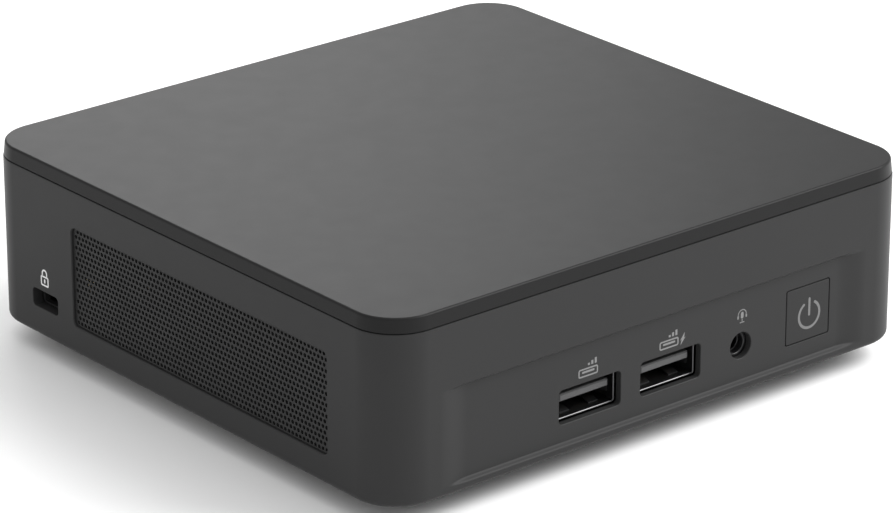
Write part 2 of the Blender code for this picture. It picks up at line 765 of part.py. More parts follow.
def make_fan():
    base_top = FAN_LOW + 0.8 * MM
    housing = slab("fan_housing", [duct_outline(0)], FAN_LOW, base_top, BLACK_PLASTIC)
    wall = duct_outline(0)[:-1] + [(FAN_X + FAN_RADIUS - MM, FAN_MOUTH)]
    inside = list(reversed(duct_outline(MM)[:-2]))
    wall += inside + [(FAN_X - FAN_RADIUS + MM, FAN_MOUTH), (FAN_X - FAN_RADIUS, FAN_MOUTH)]
    join(
        housing,
        slab("fan_wall_join", [wall], base_top - 0.4 * MM, FAN_HIGH, BLACK_PLASTIC),
    )
    cover = [duct_outline(0), circle((FAN_X, FAN_Y), 18 * MM, 28)]
    slab("fan_cover", cover, FAN_HIGH + CLOSE, FAN_HIGH + 0.7 * MM, BLACK_STEEL)
    blades_low, blades_high = base_top + 1.2 * MM, FAN_HIGH - MM
    bore = circle((0, 0), 1.1 * MM, 10)
    impeller = slab(
        "fan_impeller", [blade_outline(), bore], blades_low, blades_high, BLACK_PLASTIC
    )
    impeller.location.x = FAN_X
    impeller.location.y = FAN_Y
    hollow = slab(
        "fan_hub_cut",
        [circle((FAN_X, FAN_Y), 8.4 * MM, 24)],
        blades_low - MM,
        blades_high - 2 * MM,
        BLACK_PLASTIC,
    )
    cut(impeller, hollow)
    place = (FAN_X, FAN_Y, 0)
    top, bottom = blades_high - 0.2 * MM, base_top + 0.3 * MM
    shaft = [(0, top), (MM, top), (MM, bottom), (0, bottom)]
    turned("fan_shaft", shaft, place, SCREW_STEEL, 12)
    top, bottom = blades_high - 2.4 * MM, base_top + CLOSE
    stator = [(7.6 * MM, top), (7.6 * MM, bottom), (1.3 * MM, bottom), (1.3 * MM, top)]
    turned("fan_stator", stator, place, COPPER, 18, True)


def card(name, low, size, chips, finish_material, chip_low, chip_high):
    """A small circuit card with chips on it. Chips hold (centre x, centre y, width, depth)."""
    high = [a + b for a, b in zip(low, size)]
    made = block(name, low, high, finish_material)
    for number, (x, y, width, depth) in enumerate(chips, 1):
        corner = (x - width / 2, y - depth / 2, chip_low)
        other = (x + width / 2, y + depth / 2, chip_high)
        join(made, block(f"{name}_chip_{number}_join", corner, other, CHIP))
    return made


def make_memory():
    """Two stacked memory modules, each in its own socket under the board."""
    left = -49 * MM
    for number, socket_y, module_z, socket_low in (
        (1, -7 * MM, 12 * MM, 10.9 * MM),
        (2, 0, 7.8 * MM, 6.7 * MM),
    ):
        block(
            f"memory_socket_{number}",
            (left, socket_y, socket_low),
            (left + 70 * MM, socket_y + 5.5 * MM, BOARD_LOW - CLOSE),
            BLACK_PLASTIC,
        )
        chips = []
        for i in range(4):
            x = left + (11.5 + 16 * i) * MM
            chips.append((x, socket_y - 16 * MM, 10 * MM, 14 * MM))
        card(
            f"memory_module_{number}",
            (left + 0.2 * MM, socket_y - 30 * MM, module_z),
            (69.6 * MM, 29.7 * MM, MM),
            chips,
            BOARD_GREEN,
            module_z - 0.9 * MM,
            module_z + 0.5 * MM,
        )


def make_storage():
    """The solid-state drive, its socket, the radio card and the clock battery."""
    y, depth = 9 * MM, 22 * MM
    left, length = -46 * MM, 80 * MM
    z = 11.6 * MM
    chips = []
    for x, width in ((-30 * MM, 14 * MM), (-10 * MM, 14 * MM), (12 * MM, 12 * MM)):
        chips.append((x, y + depth / 2, width, 16 * MM))
    low, size = (left, y, z), (length, depth, 0.8 * MM)
    card("solid_state_drive", low, size, chips, BOARD_GREEN, z - 1.2 * MM, z + 0.4 * MM)
    end = left + length + CLOSE
    block(
        "drive_socket",
        (end, y, z - 0.8 * MM),
        (end + 6 * MM, y + depth, BOARD_LOW - CLOSE),
        BLACK_PLASTIC,
    )
    can = [(20 * MM, y + depth / 2, 12 * MM, 15 * MM)]
    low = (5 * MM, y + 2 * MM, 14.5 * MM)
    size = (26 * MM, 18 * MM, 0.7 * MM)
    card("radio_card", low, size, can, BOARD_GREEN, 13.2 * MM, 14.8 * MM)
    cell = [(10, 11), (10, 8), (0, 8)]
    profile = [(0, 11 * MM)] + [(r * MM, z * MM) for r, z in cell]
    turned("clock_battery", profile, (38 * MM, -24 * MM, 0), STEEL, 24)


make_housing()
make_lid()
make_vent_panels()
make_lock_plate()
make_bottom()
make_board()
make_front_ports()
make_power_button()
make_rear_panel()
make_rear_ports()
make_cooler()
make_fan()
make_memory()
make_storage()
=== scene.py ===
"""The looks of the mini PC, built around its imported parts."""

import math
import random

import bmesh
import bpy
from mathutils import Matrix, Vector


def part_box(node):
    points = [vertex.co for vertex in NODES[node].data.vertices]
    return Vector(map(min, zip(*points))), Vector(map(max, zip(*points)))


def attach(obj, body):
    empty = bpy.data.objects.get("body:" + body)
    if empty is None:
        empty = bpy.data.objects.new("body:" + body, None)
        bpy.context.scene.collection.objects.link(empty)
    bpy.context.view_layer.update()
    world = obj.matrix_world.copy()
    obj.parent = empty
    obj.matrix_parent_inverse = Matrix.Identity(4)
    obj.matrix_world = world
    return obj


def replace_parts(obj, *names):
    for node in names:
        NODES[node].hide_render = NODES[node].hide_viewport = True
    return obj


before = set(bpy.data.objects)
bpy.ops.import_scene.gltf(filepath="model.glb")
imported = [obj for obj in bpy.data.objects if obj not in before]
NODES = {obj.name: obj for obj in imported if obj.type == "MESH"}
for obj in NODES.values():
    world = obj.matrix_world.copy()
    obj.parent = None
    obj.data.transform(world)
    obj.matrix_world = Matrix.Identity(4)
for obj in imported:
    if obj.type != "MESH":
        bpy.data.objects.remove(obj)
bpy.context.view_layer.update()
STANDOFFS = sorted(n for n in NODES if n.startswith("standoff_"))
MM = 0.001

# The camera: where it stands, how it is turned, and its lens
CAMERA_PLACE = (-474.14 * MM, -569.46 * MM, 319.09 * MM)
CAMERA_PITCH = math.radians(67.92)
CAMERA_YAW = math.radians(-39.92)
CAMERA_LENS = 183.82
CAMERA_SHIFT = (-0.01, -0.0129)

# The housing, from the frame
HOUSING_LOW, HOUSING_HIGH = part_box("main_housing")
LID_LOW, LID_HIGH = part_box("top_lid")
HALF_X, HALF_Y = HOUSING_HIGH.x, HOUSING_HIGH.y
CORNER = 8.5 * MM
WALL = 2 * MM
SEAM = 0.3 * MM  # between the housing and the lid, in the CAD
SEAM_TOP = HOUSING_HIGH.z + SEAM
INNER_X, INNER_Y = HALF_X - WALL, HALF_Y - WALL
CORNER_STEPS = 20

# The recess across the front: where its lower ramp and its upper step begin and end
RECESS_DEPTH = 0.8 * MM
RAMP = (HOUSING_LOW.z + 1.45 * MM, HOUSING_LOW.z + 2.25 * MM)
STEP = (HOUSING_LOW.z + 18.4 * MM, HOUSING_LOW.z + 19.2 * MM)
RECESS_FLAT = 41.5 * MM
RECESS_END = 47.8 * MM
PORT_FACE = -HALF_Y + RECESS_DEPTH
INK = 0.02 * MM  # thickness of a printed mark


def extent(node):
    """A node's lowest corner, highest corner, middle and size."""
    low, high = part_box(node)
    return low, high, (low + high) / 2, high - low


def middle(node):
    return extent(node)[2]


def show(obj):
    bpy.context.scene.collection.objects.link(obj)


# -------- materials


def noise(nodes, links, coords, scale, detail):
    texture = nodes.new("ShaderNodeTexNoise")
    texture.inputs["Scale"].default_value = scale
    texture.inputs["Detail"].default_value = detail
    links.new(coords, texture.inputs["Vector"])
    return texture.outputs["Fac"]


def remap(nodes, links, value, low, high, source=(0.3, 0.7)):
    step = nodes.new("ShaderNodeMapRange")
    step.inputs["From Min"].default_value = source[0]
    step.inputs["From Max"].default_value = source[1]
    step.inputs["To Min"].default_value = low
    step.inputs["To Max"].default_value = high
    links.new(value, step.inputs["Value"])
    return step.outputs["Result"]


def blend_colours(nodes, links, share, first, second):
    mix = nodes.new("ShaderNodeMix")
    mix.data_type = "RGBA"
    mix.inputs["A"].default_value = (*first, 1)
    mix.inputs["B"].default_value = (*second, 1)
    links.new(share, mix.inputs["Factor"])
    return mix.outputs["Result"]


def surface(
    name,
    colour,
    roughness,
    metallic=0.0,
    grain=5000,
    grain_height=0.01,
    mottle=0.06,
    scuff=0.05,
    stretch=(1, 1, 1),
    **sockets,
):
    """A Principled material with broad colour mottling, uneven roughness and a fine grain."""
    made = bpy.data.materials.new(name)
    made.use_nodes = True
    nodes, links = made.node_tree.nodes, made.node_tree.links
    shader = nodes["Principled BSDF"]
    shader.inputs["Metallic"].default_value = metallic
    for socket, value in sockets.items():
        shader.inputs[socket.replace("_", " ")].default_value = value
    coords = nodes.new("ShaderNodeTexCoord").outputs["Object"]
    mapping = nodes.new("ShaderNodeMapping")
    mapping.inputs["Scale"].default_value = stretch
    links.new(coords, mapping.inputs["Vector"])
    placed = mapping.outputs["Vector"]
    dark = [c * (1 - mottle) for c in colour]
    light = [c * (1 + mottle) for c in colour]
    share = remap(nodes, links, noise(nodes, links, placed, 60, 3), 0, 1)
    links.new(blend_colours(nodes, links, share, dark, light), shader.inputs["Base Color"])
    uneven = noise(nodes, links, placed, 220, 4)
    rough = remap(nodes, links, uneven, roughness - scuff, roughness + scuff)
    links.new(rough, shader.inputs["Roughness"])
    bump = nodes.new("ShaderNodeBump")
    bump.inputs["Strength"].default_value = 0.5
    bump.inputs["Distance"].default_value = grain_height * MM
    links.new(noise(nodes, links, placed, grain, 2), bump.inputs["Height"])
    links.new(bump.outputs["Normal"], shader.inputs["Normal"])
    return made


def board_material(name, base, track):
    """Circuit board: solder mask with lighter copper tracks and small plated holes under it."""
    made = surface(name, base, 0.38, grain=2500, mottle=0.05)
    nodes, links = made.node_tree.nodes, made.node_tree.links
    shader = nodes["Principled BSDF"]
    coords = nodes.new("ShaderNodeTexCoord").outputs["Object"]
    cells = nodes.new("ShaderNodeTexVoronoi")
    cells.feature = "DISTANCE_TO_EDGE"
    cells.inputs["Scale"].default_value = 420
    links.new(coords, cells.inputs["Vector"])
    share = remap(nodes, links, cells.outputs["Distance"], 1, 0, (0.02, 0.06))
    dots = nodes.new("ShaderNodeTexVoronoi")
    dots.inputs["Scale"].default_value = 700
    links.new(coords, dots.inputs["Vector"])
    hole = remap(nodes, links, dots.outputs["Distance"], 1, 0, (0.1, 0.16))
    tracks = blend_colours(nodes, links, share, base, track)
    plated = nodes.new("ShaderNodeMix")
    plated.data_type = "RGBA"
    plated.inputs["B"].default_value = (0.45, 0.4, 0.28, 1)
    links.new(hole, plated.inputs["Factor"])
    links.new(tracks, plated.inputs["A"])
    links.new(plated.outputs["Result"], shader.inputs["Base Color"])
    return made


CASE = {"mottle": 0.012, "scuff": 0.012, "Specular_IOR_Level": 0.12}
HOUSING = surface("housing_plastic", (0.028, 0.028, 0.0282), 0.44, grain=5200, **CASE)
LID = surface("lid_plastic", (0.012, 0.012, 0.0121), 0.4, grain=6500, grain_height=0.005, **CASE)
MESH = surface("vent_metal", (0.026, 0.026, 0.0262), 0.48, grain=7000, Specular_IOR_Level=0.12)
BUTTON = surface("button_plastic", (0.026, 0.026, 0.0262), 0.42, grain=5200, **CASE)
INK_GREY = surface("ink_grey", (0.17, 0.17, 0.17), 0.5, grain=9000, grain_height=0.004, mottle=0.05)
INK_WHITE = surface("ink_white", (0.68, 0.68, 0.68), 0.5, grain=9000, grain_height=0.004)
SYMBOL = surface("symbol_clear", (0.13, 0.13, 0.13), 0.4, grain=9000, grain_height=0.003)
STEEL = surface("port_steel", (0.11, 0.11, 0.112), 0.38, 1, grain=2500, stretch=(1, 8, 1))
SPRING = surface("spring_steel", (0.07, 0.07, 0.072), 0.45, 1, grain=2500)
DARK_STEEL = surface("cover_steel", (0.028, 0.028, 0.029), 0.5, 0.3, grain=3500, grain_height=0.02)
SCREW = surface("screw_steel", (0.22, 0.22, 0.23), 0.34, 1, grain=4000)
RUBBER = surface("foot_rubber", (0.018, 0.018, 0.018), 0.8, grain=2600, grain_height=0.03)
BLACK = surface("port_plastic", (0.014, 0.014, 0.015), 0.42, grain=4000)
TONGUE = surface("tongue_plastic", (0.06, 0.06, 0.061), 0.45, grain=4000)
CHIP = surface("chip_resin", (0.022, 0.022, 0.024), 0.55, grain=6000, grain_height=0.015)
GOLD = surface("contact_gold", (0.83, 0.6, 0.26), 0.25, 1, grain=4000)
SOLDER = surface("solder_tin", (0.6, 0.6, 0.61), 0.32, 1, grain=3000)
COPPER = surface("cooler_copper", (0.78, 0.4, 0.25), 0.3, 1, grain=1800, mottle=0.12)
ALUMINIUM = surface("fin_aluminium", (0.66, 0.67, 0.68), 0.34, 1, grain=2200)
BRASS = surface("standoff_brass", (0.72, 0.54, 0.26), 0.3, 1, grain=2200)
CERAMIC = surface("ceramic_tan", (0.33, 0.22, 0.13), 0.5, grain=6000)
FERRITE = surface("ferrite_grey", (0.12, 0.12, 0.125), 0.6, grain=5000, grain_height=0.02)
FAN_PLASTIC = surface("fan_plastic", (0.02, 0.02, 0.021), 0.4, grain=4500)
CLEAR = surface("light_guide_clear", (0.75, 0.78, 0.8), 0.15, grain=5000, Transmission_Weight=0.6)
BOARD = board_material("board_laminate", (0.008, 0.02, 0.035), (0.02, 0.05, 0.075))
WIRE = surface("wire_sleeve", (0.02, 0.02, 0.02), 0.4, grain=3000)
LAMP_GREEN = surface("lamp_green", (0.1, 0.4, 0.12), 0.25, grain=3000)
LAMP_AMBER = surface("lamp_amber", (0.6, 0.32, 0.05), 0.25, grain=3000)
FLOOR = surface("floor_white", (0.93, 0.93, 0.93), 0.7, grain=200, mottle=0.005)


# -------- mesh building


def to_object(name, verts, faces, finish, body, smooth=32):
    mesh = bpy.data.meshes.new(name)
    mesh.from_pydata([tuple(v) for v in verts], [], faces)
    shape = bmesh.new()
    shape.from_mesh(mesh)
    bmesh.ops.remove_doubles(shape, verts=shape.verts, dist=0.0005 * MM)
    bmesh.ops.recalc_face_normals(shape, faces=shape.faces)
    shape.to_mesh(mesh)
    shape.free()
    obj = bpy.data.objects.new(name, mesh)
    show(obj)
    mesh.materials.append(finish)
    soften(obj, smooth)
    if body:
        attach(obj, body)
    return obj


def soften(obj, angle):
    """Smooth shading, broken at edges sharper than the angle, with flat faces kept flat."""
    obj.data.shade_smooth()
    obj.data.set_sharp_from_angle(angle=math.radians(angle))
    if "normals" not in obj.modifiers:
        obj.modifiers.new("normals", "WEIGHTED_NORMAL").keep_sharp = True


def arc(centre, radius, start, end, steps):
    points = []
    for i in range(steps + 1):
        angle = math.radians(start + (end - start) * i / steps)
        points.append((centre[0] + radius * math.cos(angle), centre[1] + radius * math.sin(angle)))
    return points


def rounded(centre, width, height, radius, steps=6):
    """A rectangle with round corners, as a function of how much it is grown all round."""

    def outline(grow=0):
        r = max(radius + grow, 0.01 * MM)
        w, h = width / 2 + grow - r, height / 2 + grow - r
        x, y = centre
        points = arc((x + w, y + h), r, 0, 90, steps)
        points += arc((x - w, y + h), r, 90, 180, steps)
        points += arc((x - w, y - h), r, 180, 270, steps)
        return points + arc((x + w, y - h), r, 270, 360, steps)

    return outline


def disc(centre, radius, steps=32):
    def outline(grow=0):
        return arc(centre, radius + grow, 0, 360, steps)[:-1]

    return outline


def stand(point, axis, level):
    """A point of a flat outline, put at a level along the axis that the outline faces."""
    u, v = point
    return {"x": (level, u, v), "y": (u, level, v), "z": (u, v, level)}[axis]


def loft_data(rings, closed=False):
    count = len(rings[0])
    verts = [point for ring in rings for point in ring]
    faces = []
    for i in range(len(rings) if closed else len(rings) - 1):
        a, b = i * count, (i + 1) % len(rings) * count
        for j in range(count):
            k = (j + 1) % count
            faces.append((a + j, a + k, b + k, b + j))
    if not closed:
        faces.append(tuple(range(count)))
        faces.append(tuple(range((len(rings) - 1) * count, len(rings) * count)))
    return verts, faces


def merge(parts):
    verts, faces = [], []
    for more_verts, more_faces in parts:
        start = len(verts)
        verts += more_verts
        faces += [tuple(start + i for i in face) for face in more_faces]
    return verts, faces


def rod_data(outline, axis, stations):
    """A solid along an axis: at each station, a level and how much the outline is grown."""
    rings = [[stand(p, axis, level) for p in outline(grow)] for level, grow in stations]
    return loft_data(rings)


def block_data(low, high, edge=0.1 * MM):
    """A box with its edges eased."""
    centre = ((low[0] + high[0]) / 2, (low[1] + high[1]) / 2)
    size = (high[0] - low[0], high[1] - low[1])
    outline = rounded(centre, size[0], size[1], edge, 2)
    stations = [(low[2], -edge), (low[2] + edge, 0), (high[2] - edge, 0), (high[2], -edge)]
    return rod_data(outline, "z", stations)


def rod(name, outline, axis, stations, finish, body, smooth=32):
    return to_object(name, *rod_data(outline, axis, stations), finish, body, smooth)


def turned_data(profile, centre, axis="z", steps=40):
    """A solid of revolution from (radius, level) points, on the axis through the centre."""
    rings = []
    for radius, level in profile:
        r = max(radius, 0.002 * MM)
        rings.append([stand(p, axis, level) for p in arc(centre, r, 0, 360, steps)[:-1]])
    return loft_data(rings)


def ring_data(profile, centre, axis="z", steps=48):
    """The same for a closed profile clear of the axis."""
    rings = []
    for radius, level in profile:
        rings.append([stand(p, axis, level) for p in arc(centre, radius, 0, 360, steps)[:-1]])
    return loft_data(rings, closed=True)


def carve(obj, cutters, smooth=32):
    """Takes the cutters, each vertices and faces, out of the object for good."""
    tool = to_object("cutter", *merge(cutters), BLACK, None)
    tool.modifiers.clear()
    obj.modifiers.clear()
    step = obj.modifiers.new("carve", "BOOLEAN")
    step.solver = "EXACT"
    step.operation = "DIFFERENCE"
    step.object = tool
    bpy.context.view_layer.update()
    graph = bpy.context.evaluated_depsgraph_get()
    result = bpy.data.meshes.new_from_object(obj.evaluated_get(graph))
    obj.modifiers.clear()
    finish = obj.data.materials[0]
    obj.data = result
    result.materials.clear()
    result.materials.append(finish)
    bpy.data.objects.remove(tool)
    soften(obj, smooth)


def flared(outline, axis, face, inner, chamfer):
    """A cutter from outside a face to an inner level, with a small chamfer at the face."""
    way = 1 if inner > face else -1
    over = 0.6 * MM
    stations = [(face - way * over, chamfer + over), (face + way * chamfer, 0), (inner, 0)]
    return rod_data(outline, axis, stations)


def ribbon_data(points, width, axis, level, thickness, closed=False):
    """A flat stroke along 2-D points, with round ends, standing a thickness off a level."""
    path = [Vector(p) for p in points]
    half = [width / 2] * len(path)
    if not closed:
        first, last = (path[0] - path[1]).normalized(), (path[-1] - path[-2]).normalized()
        for share in (0.5, 0.86, 0.995):
            narrow = width / 2 * math.sqrt(1 - share * share)
            path.insert(0, Vector(points[0]) + first * width / 2 * share)
            path.append(Vector(points[-1]) + last * width / 2 * share)
            half.insert(0, narrow)
            half.append(narrow)
    rings = []
    for i, point in enumerate(path):
        before = path[i - 1] if closed or i else point
        after = path[(i + 1) % len(path)] if closed or i < len(path) - 1 else point
        along = (after - before).normalized()
        side = Vector((-along.y, along.x))
        turn = 1.0
        if closed or 0 < i < len(path) - 1:
            into = (point - before).normalized()
            turn = max(abs(side.dot(Vector((-into.y, into.x)))), 0.5)
        left, right = point + side * half[i] / turn, point - side * half[i] / turn
        rings.append(
            [
                stand(left, axis, level),
                stand(right, axis, level),
                stand(right, axis, level + thickness),
                stand(left, axis, level + thickness),
            ]
        )
    return loft_data(rings, closed)


# -------- housing and lid


def ease(share):
    """A straight ramp from 0 to 1 with its two ends rounded."""
    t = min(max(share, 0), 1)
    return t - 0.7 * math.sin(2 * math.pi * t) / (2 * math.pi)


def recess(x, z):
    """How deep the front's recess is at a place."""
    along = (RECESS_END - abs(x)) / (RECESS_END - RECESS_FLAT)
    along = min(max(along, 0), 1)
    fade = along * along * (3 - 2 * along)
    up = min(ease((z - RAMP[0]) / (RAMP[1] - RAMP[0])), ease((STEP[1] - z) / (STEP[1] - STEP[0])))
    return RECESS_DEPTH * fade * up


def front_stations():
    steps = 16
    span = RECESS_END - RECESS_FLAT
    right = [RECESS_FLAT + span * i / steps for i in range(steps + 1)]
    return [-x for x in reversed(right)] + right


def perimeter(inset, z, front=False):
    """A ring around the housing, from the left end of the front. The front may be recessed."""
    radius = CORNER - inset
    x, y = HALF_X - CORNER, HALF_Y - CORNER
    points = []
    for station in front_stations():
        depth = recess(station, z) if front else 0
        points.append((station, -HALF_Y + inset + depth, z))
    for cx, cy, start in ((x, -y, -90), (x, y, 0), (-x, y, 90), (-x, -y, 180)):
        for px, py in arc((cx, cy), radius, start, start + 90, CORNER_STEPS):
            points.append((px, py, z))
    return points


def housing_rings():
    """The wall's section, carried round: bottom edge, outer face, top edge and inner face."""
    low, high = HOUSING_LOW.z, HOUSING_HIGH.z
    edge, chamfer = 1.1 * MM, 0.32 * MM
    rings = []
    for i in range(9):
        angle = math.radians(90 * i / 8)
        rings.append(perimeter(edge * (1 - math.sin(angle)), low + edge * (1 - math.cos(angle))))
    for start, end in (RAMP, STEP):
        for i in range(11):
            rings.append(perimeter(0, start + (end - start) * i / 10, front=True))
    for inset, z in ((0, high - chamfer), (0.07 * MM, high - 0.07 * MM), (chamfer, high)):
        rings.append(perimeter(inset, z))
    rings.append(perimeter(WALL, high))
    rings.append(perimeter(WALL, low))
    return rings


USB_NODES = ("front_usb_1_shell", "front_usb_2_shell")
USB_HOLE = (13.6 * MM, 6.2 * MM, 0.8 * MM)
JACK = middle("headset_jack")
JACK_HOLE = 2.4 * MM
BUTTON_CENTRE = middle("power_button_cap")
BUTTON_SIDE = 10 * MM
BUTTON_GAP = 0.17 * MM
LOCK = middle("lock_slot_plate")
VENT_LOW, VENT_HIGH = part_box("left_vent_mesh")
VENT_CENTRE = (VENT_LOW + VENT_HIGH) / 2
VENT_SIZE = VENT_HIGH - VENT_LOW
MESH_RECESS = 0.55 * MM
MESH_THICKNESS = 0.35 * MM
WINDOW_COUNT = 6
WINDOW_PITCH = 11.6 * MM
WINDOW = (9.6 * MM, 11.5 * MM)
REAR_LOW, REAR_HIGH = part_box("rear_io_panel")

# The faces that carry printed marks: axis, level, and which way each faces
FRONT = ("y", PORT_FACE, -1)
LEFT = ("x", -HALF_X, -1)
REAR = ("y", REAR_HIGH.y, 1)


def front_cutters():
    """The front's four openings, each with the chamfer round it."""
    side = BUTTON_SIDE + 2 * BUTTON_GAP
    button = rounded((BUTTON_CENTRE.x, BUTTON_CENTRE.z), side, side, 0.45 * MM)
    holes = [(disc((JACK.x, JACK.z), JACK_HOLE), 0.1 * MM), (button, 0.04 * MM)]
    for node in USB_NODES:
        holes.append((rounded((middle(node).x, middle(node).z), *USB_HOLE), 0.08 * MM))
    return [flared(hole, "y", PORT_FACE, -INNER_Y + MM, chamfer) for hole, chamfer in holes]


def side_cutters(sign):
    """The mesh panel's pocket, and then the windows behind it."""
    floor = sign * (HALF_X - 1.1 * MM)
    centre = (VENT_CENTRE.y, VENT_CENTRE.z)
    gap = 0.2 * MM
    pocket = rounded(centre, VENT_SIZE.y + gap, VENT_SIZE.z + gap, 1.1 * MM)
    pocket = flared(pocket, "x", sign * HALF_X, floor, 0.16 * MM)
    windows = []
    for i in range(WINDOW_COUNT):
        y = centre[0] + (i - (WINDOW_COUNT - 1) / 2) * WINDOW_PITCH
        shape = rounded((y, centre[1]), *WINDOW, 0.8 * MM)
        stations = [(floor + sign * 0.3 * MM, 0), (sign * (INNER_X - MM), 0)]
        windows.append(rod_data(shape, "x", stations))
    return pocket, windows


def make_housing():
    verts, faces = loft_data(housing_rings(), closed=True)
    shell = to_object("housing_shell", verts, faces, HOUSING, "base")
    pockets, windows = [], []
    for sign in (-1, 1):
        pocket, behind = side_cutters(sign)
        pockets.append(pocket)
        windows += behind
    lock = rounded((LOCK.y, LOCK.z), 7.5 * MM, 3.35 * MM, 0.75 * MM)
    lock = flared(lock, "x", -HALF_X, -INNER_X + MM, 0.08 * MM)
    opening = rounded((0, (REAR_LOW.z + REAR_HIGH.z) / 2), 104 * MM, 26.8 * MM, 0.8 * MM)
    opening = flared(opening, "y", HALF_Y, INNER_Y - MM, 0.15 * MM)
    carve(shell, front_cutters() + pockets + [lock, opening])
    carve(shell, windows)
    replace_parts(shell, "main_housing")
    make_ears()


def make_ears():
    """The lugs inside the corners that the standoffs hold the board down with."""
    ears, holes = [], []
    for node in STANDOFFS:
        post = middle(node)
        sx, sy = math.copysign(1, post.x), math.copysign(1, post.y)
        x = sorted((post.x - sx * 4.4 * MM, sx * (INNER_X + 0.5 * MM)))
        y = sorted((post.y - sy * 4.4 * MM, sy * 47.5 * MM))
        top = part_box(node)[1].z + 0.2 * MM
        ears.append(block_data((x[0], y[0], top - 3.7 * MM), (x[1], y[1], top), 0.4 * MM))
        hole = disc((post.x, post.y), 1.6 * MM, 24)
        holes.append(rod_data(hole, "z", [(top - 5 * MM, 0), (top + MM, 0)]))
    lugs = to_object("housing_ears", *merge(ears), HOUSING, "base")
    carve(lugs, holes)


def make_lid():
    """A plate whose side leans in, with a soft top edge and a rim that drops inside.

    Its hem comes down to a hair above the housing, so the seam shows as a fine line."""
    rim_in, rim_out = 3.7 * MM, 2.3 * MM
    under, top, rim = SEAM_TOP, LID_HIGH.z, LID_LOW.z
    hem = HOUSING_HIGH.z + 0.08 * MM
    side, lean, edge = 0.12 * MM, 0.22 * MM, 0.45 * MM
    profile = [(rim_in, under), (rim_in, rim + 0.2 * MM), (rim_in - 0.2 * MM, rim)]
    profile += [(rim_out + 0.2 * MM, rim), (rim_out, rim + 0.2 * MM), (rim_out, hem)]
    profile += [(side + 0.1 * MM, hem), (side, hem + 0.1 * MM)]
    for i in range(9):
        angle = math.radians(90 * i / 8)
        inset = side + lean + edge * (1 - math.cos(angle))
        profile.append((inset, top - edge * (1 - math.sin(angle))))
    rings = [perimeter(inset, z) for inset, z in profile]
    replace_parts(to_object("lid_shell", *loft_data(rings), LID, "lid"), "top_lid")
    ribs = []
    thick, drop = 0.8 * MM, 1.4 * MM
    for i in range(5):
        across = (i - 2) * 22 * MM
        reach_x, reach_y = INNER_X - 1.7 * MM, INNER_Y - 1.7 * MM
        for low, high in (
            ((across - thick / 2, -reach_y), (across + thick / 2, reach_y)),
            ((-reach_x, across - thick / 2), (reach_x, across + thick / 2)),
        ):
            ribs.append(block_data((*low, under - drop), (*high, under + 0.3 * MM), 0.15 * MM))
    hooks = [(-25, -1), (25, -1), (35, 1), (-47, 1)]
    for x, side_y in hooks:
        y = sorted((side_y * (HALF_Y - rim_in), side_y * (HALF_Y - rim_out - 0.3 * MM)))
        low = ((x - 3) * MM, y[0], rim - 2 * MM)
        ribs.append(block_data(low, ((x + 3) * MM, y[1], rim + 0.5 * MM), 0.2 * MM))
    to_object("lid_ribs", *merge(ribs), LID, "lid")


# -------- side vents


def mesh_panel_data(outer, inner):
    """A perforated sheet: rows of holes a millimetre apart, each row half a hole along."""
    pitch, hole = MM, 0.37 * MM
    columns, rows = 70, 18
    left = VENT_CENTRE.y - columns * pitch / 2
    bottom = VENT_CENTRE.z - rows * pitch / 2
    verts, faces, known = [], [], {}

    def corner(half, row, level):
        """A shared corner of the cells, on the grid of half pitches."""
        key = (half, row, level)
        if key not in known:
            known[key] = len(verts)
            y, z = left + half * pitch / 2, bottom + row * pitch
            if half in (0, 2 * columns) and row in (0, rows):
                y += 0.3 * MM * (1 if half == 0 else -1)
                z += 0.3 * MM * (1 if row == 0 else -1)
            verts.append((level, y, z))
        return known[key]

    def cell(half, row):
        """One hole, in a cell with six corners."""
        edge = [(half, row), (half + 1, row), (half + 2, row)]
        edge += [(half + 2, row + 1), (half + 1, row + 1), (half, row + 1)]
        y, z = left + (half + 1) * pitch / 2, bottom + (row + 0.5) * pitch
        rings = []
        for level in (outer, inner):
            start = len(verts)
            for i in range(12):
                angle = math.radians(225 + 30 * i)
                verts.append((level, y + hole * math.cos(angle), z + hole * math.sin(angle)))
            rings.append([start + i for i in range(12)])
            at = [corner(*e, level) for e in edge]
            spots = (0, 2, 3, 6, 8, 9, 12)
            for i in range(6):
                between = [rings[-1][k % 12] for k in range(spots[i], spots[i + 1] + 1)]
                faces.append((at[i], at[(i + 1) % 6], *reversed(between)))
        for i in range(12):
            k = (i + 1) % 12
            faces.append((rings[0][i], rings[0][k], rings[1][k], rings[1][i]))

    def plain(half, row):
        """The half cell at the end of every other row."""
        edge = [(half, row), (half + 1, row), (half + 1, row + 1), (half, row + 1)]
        for level in (outer, inner):
            faces.append(tuple(corner(*e, level) for e in edge))

    for row in range(rows):
        shift = row % 2
        for column in range(columns - shift):
            cell(2 * column + shift, row)
        if shift:
            plain(0, row)
            plain(2 * columns - 1, row)
    rim = [(half, 0) for half in range(2 * columns)]
    rim += [(2 * columns, row) for row in range(rows)]
    rim += [(half, rows) for half in range(2 * columns, 0, -1)]
    rim += [(0, row) for row in range(rows, 0, -1)]
    for first, second in zip(rim, rim[1:] + rim[:1]):
        pair = [corner(*first, outer), corner(*second, outer)]
        faces.append((*pair, corner(*second, inner), corner(*first, inner)))
    return verts, faces


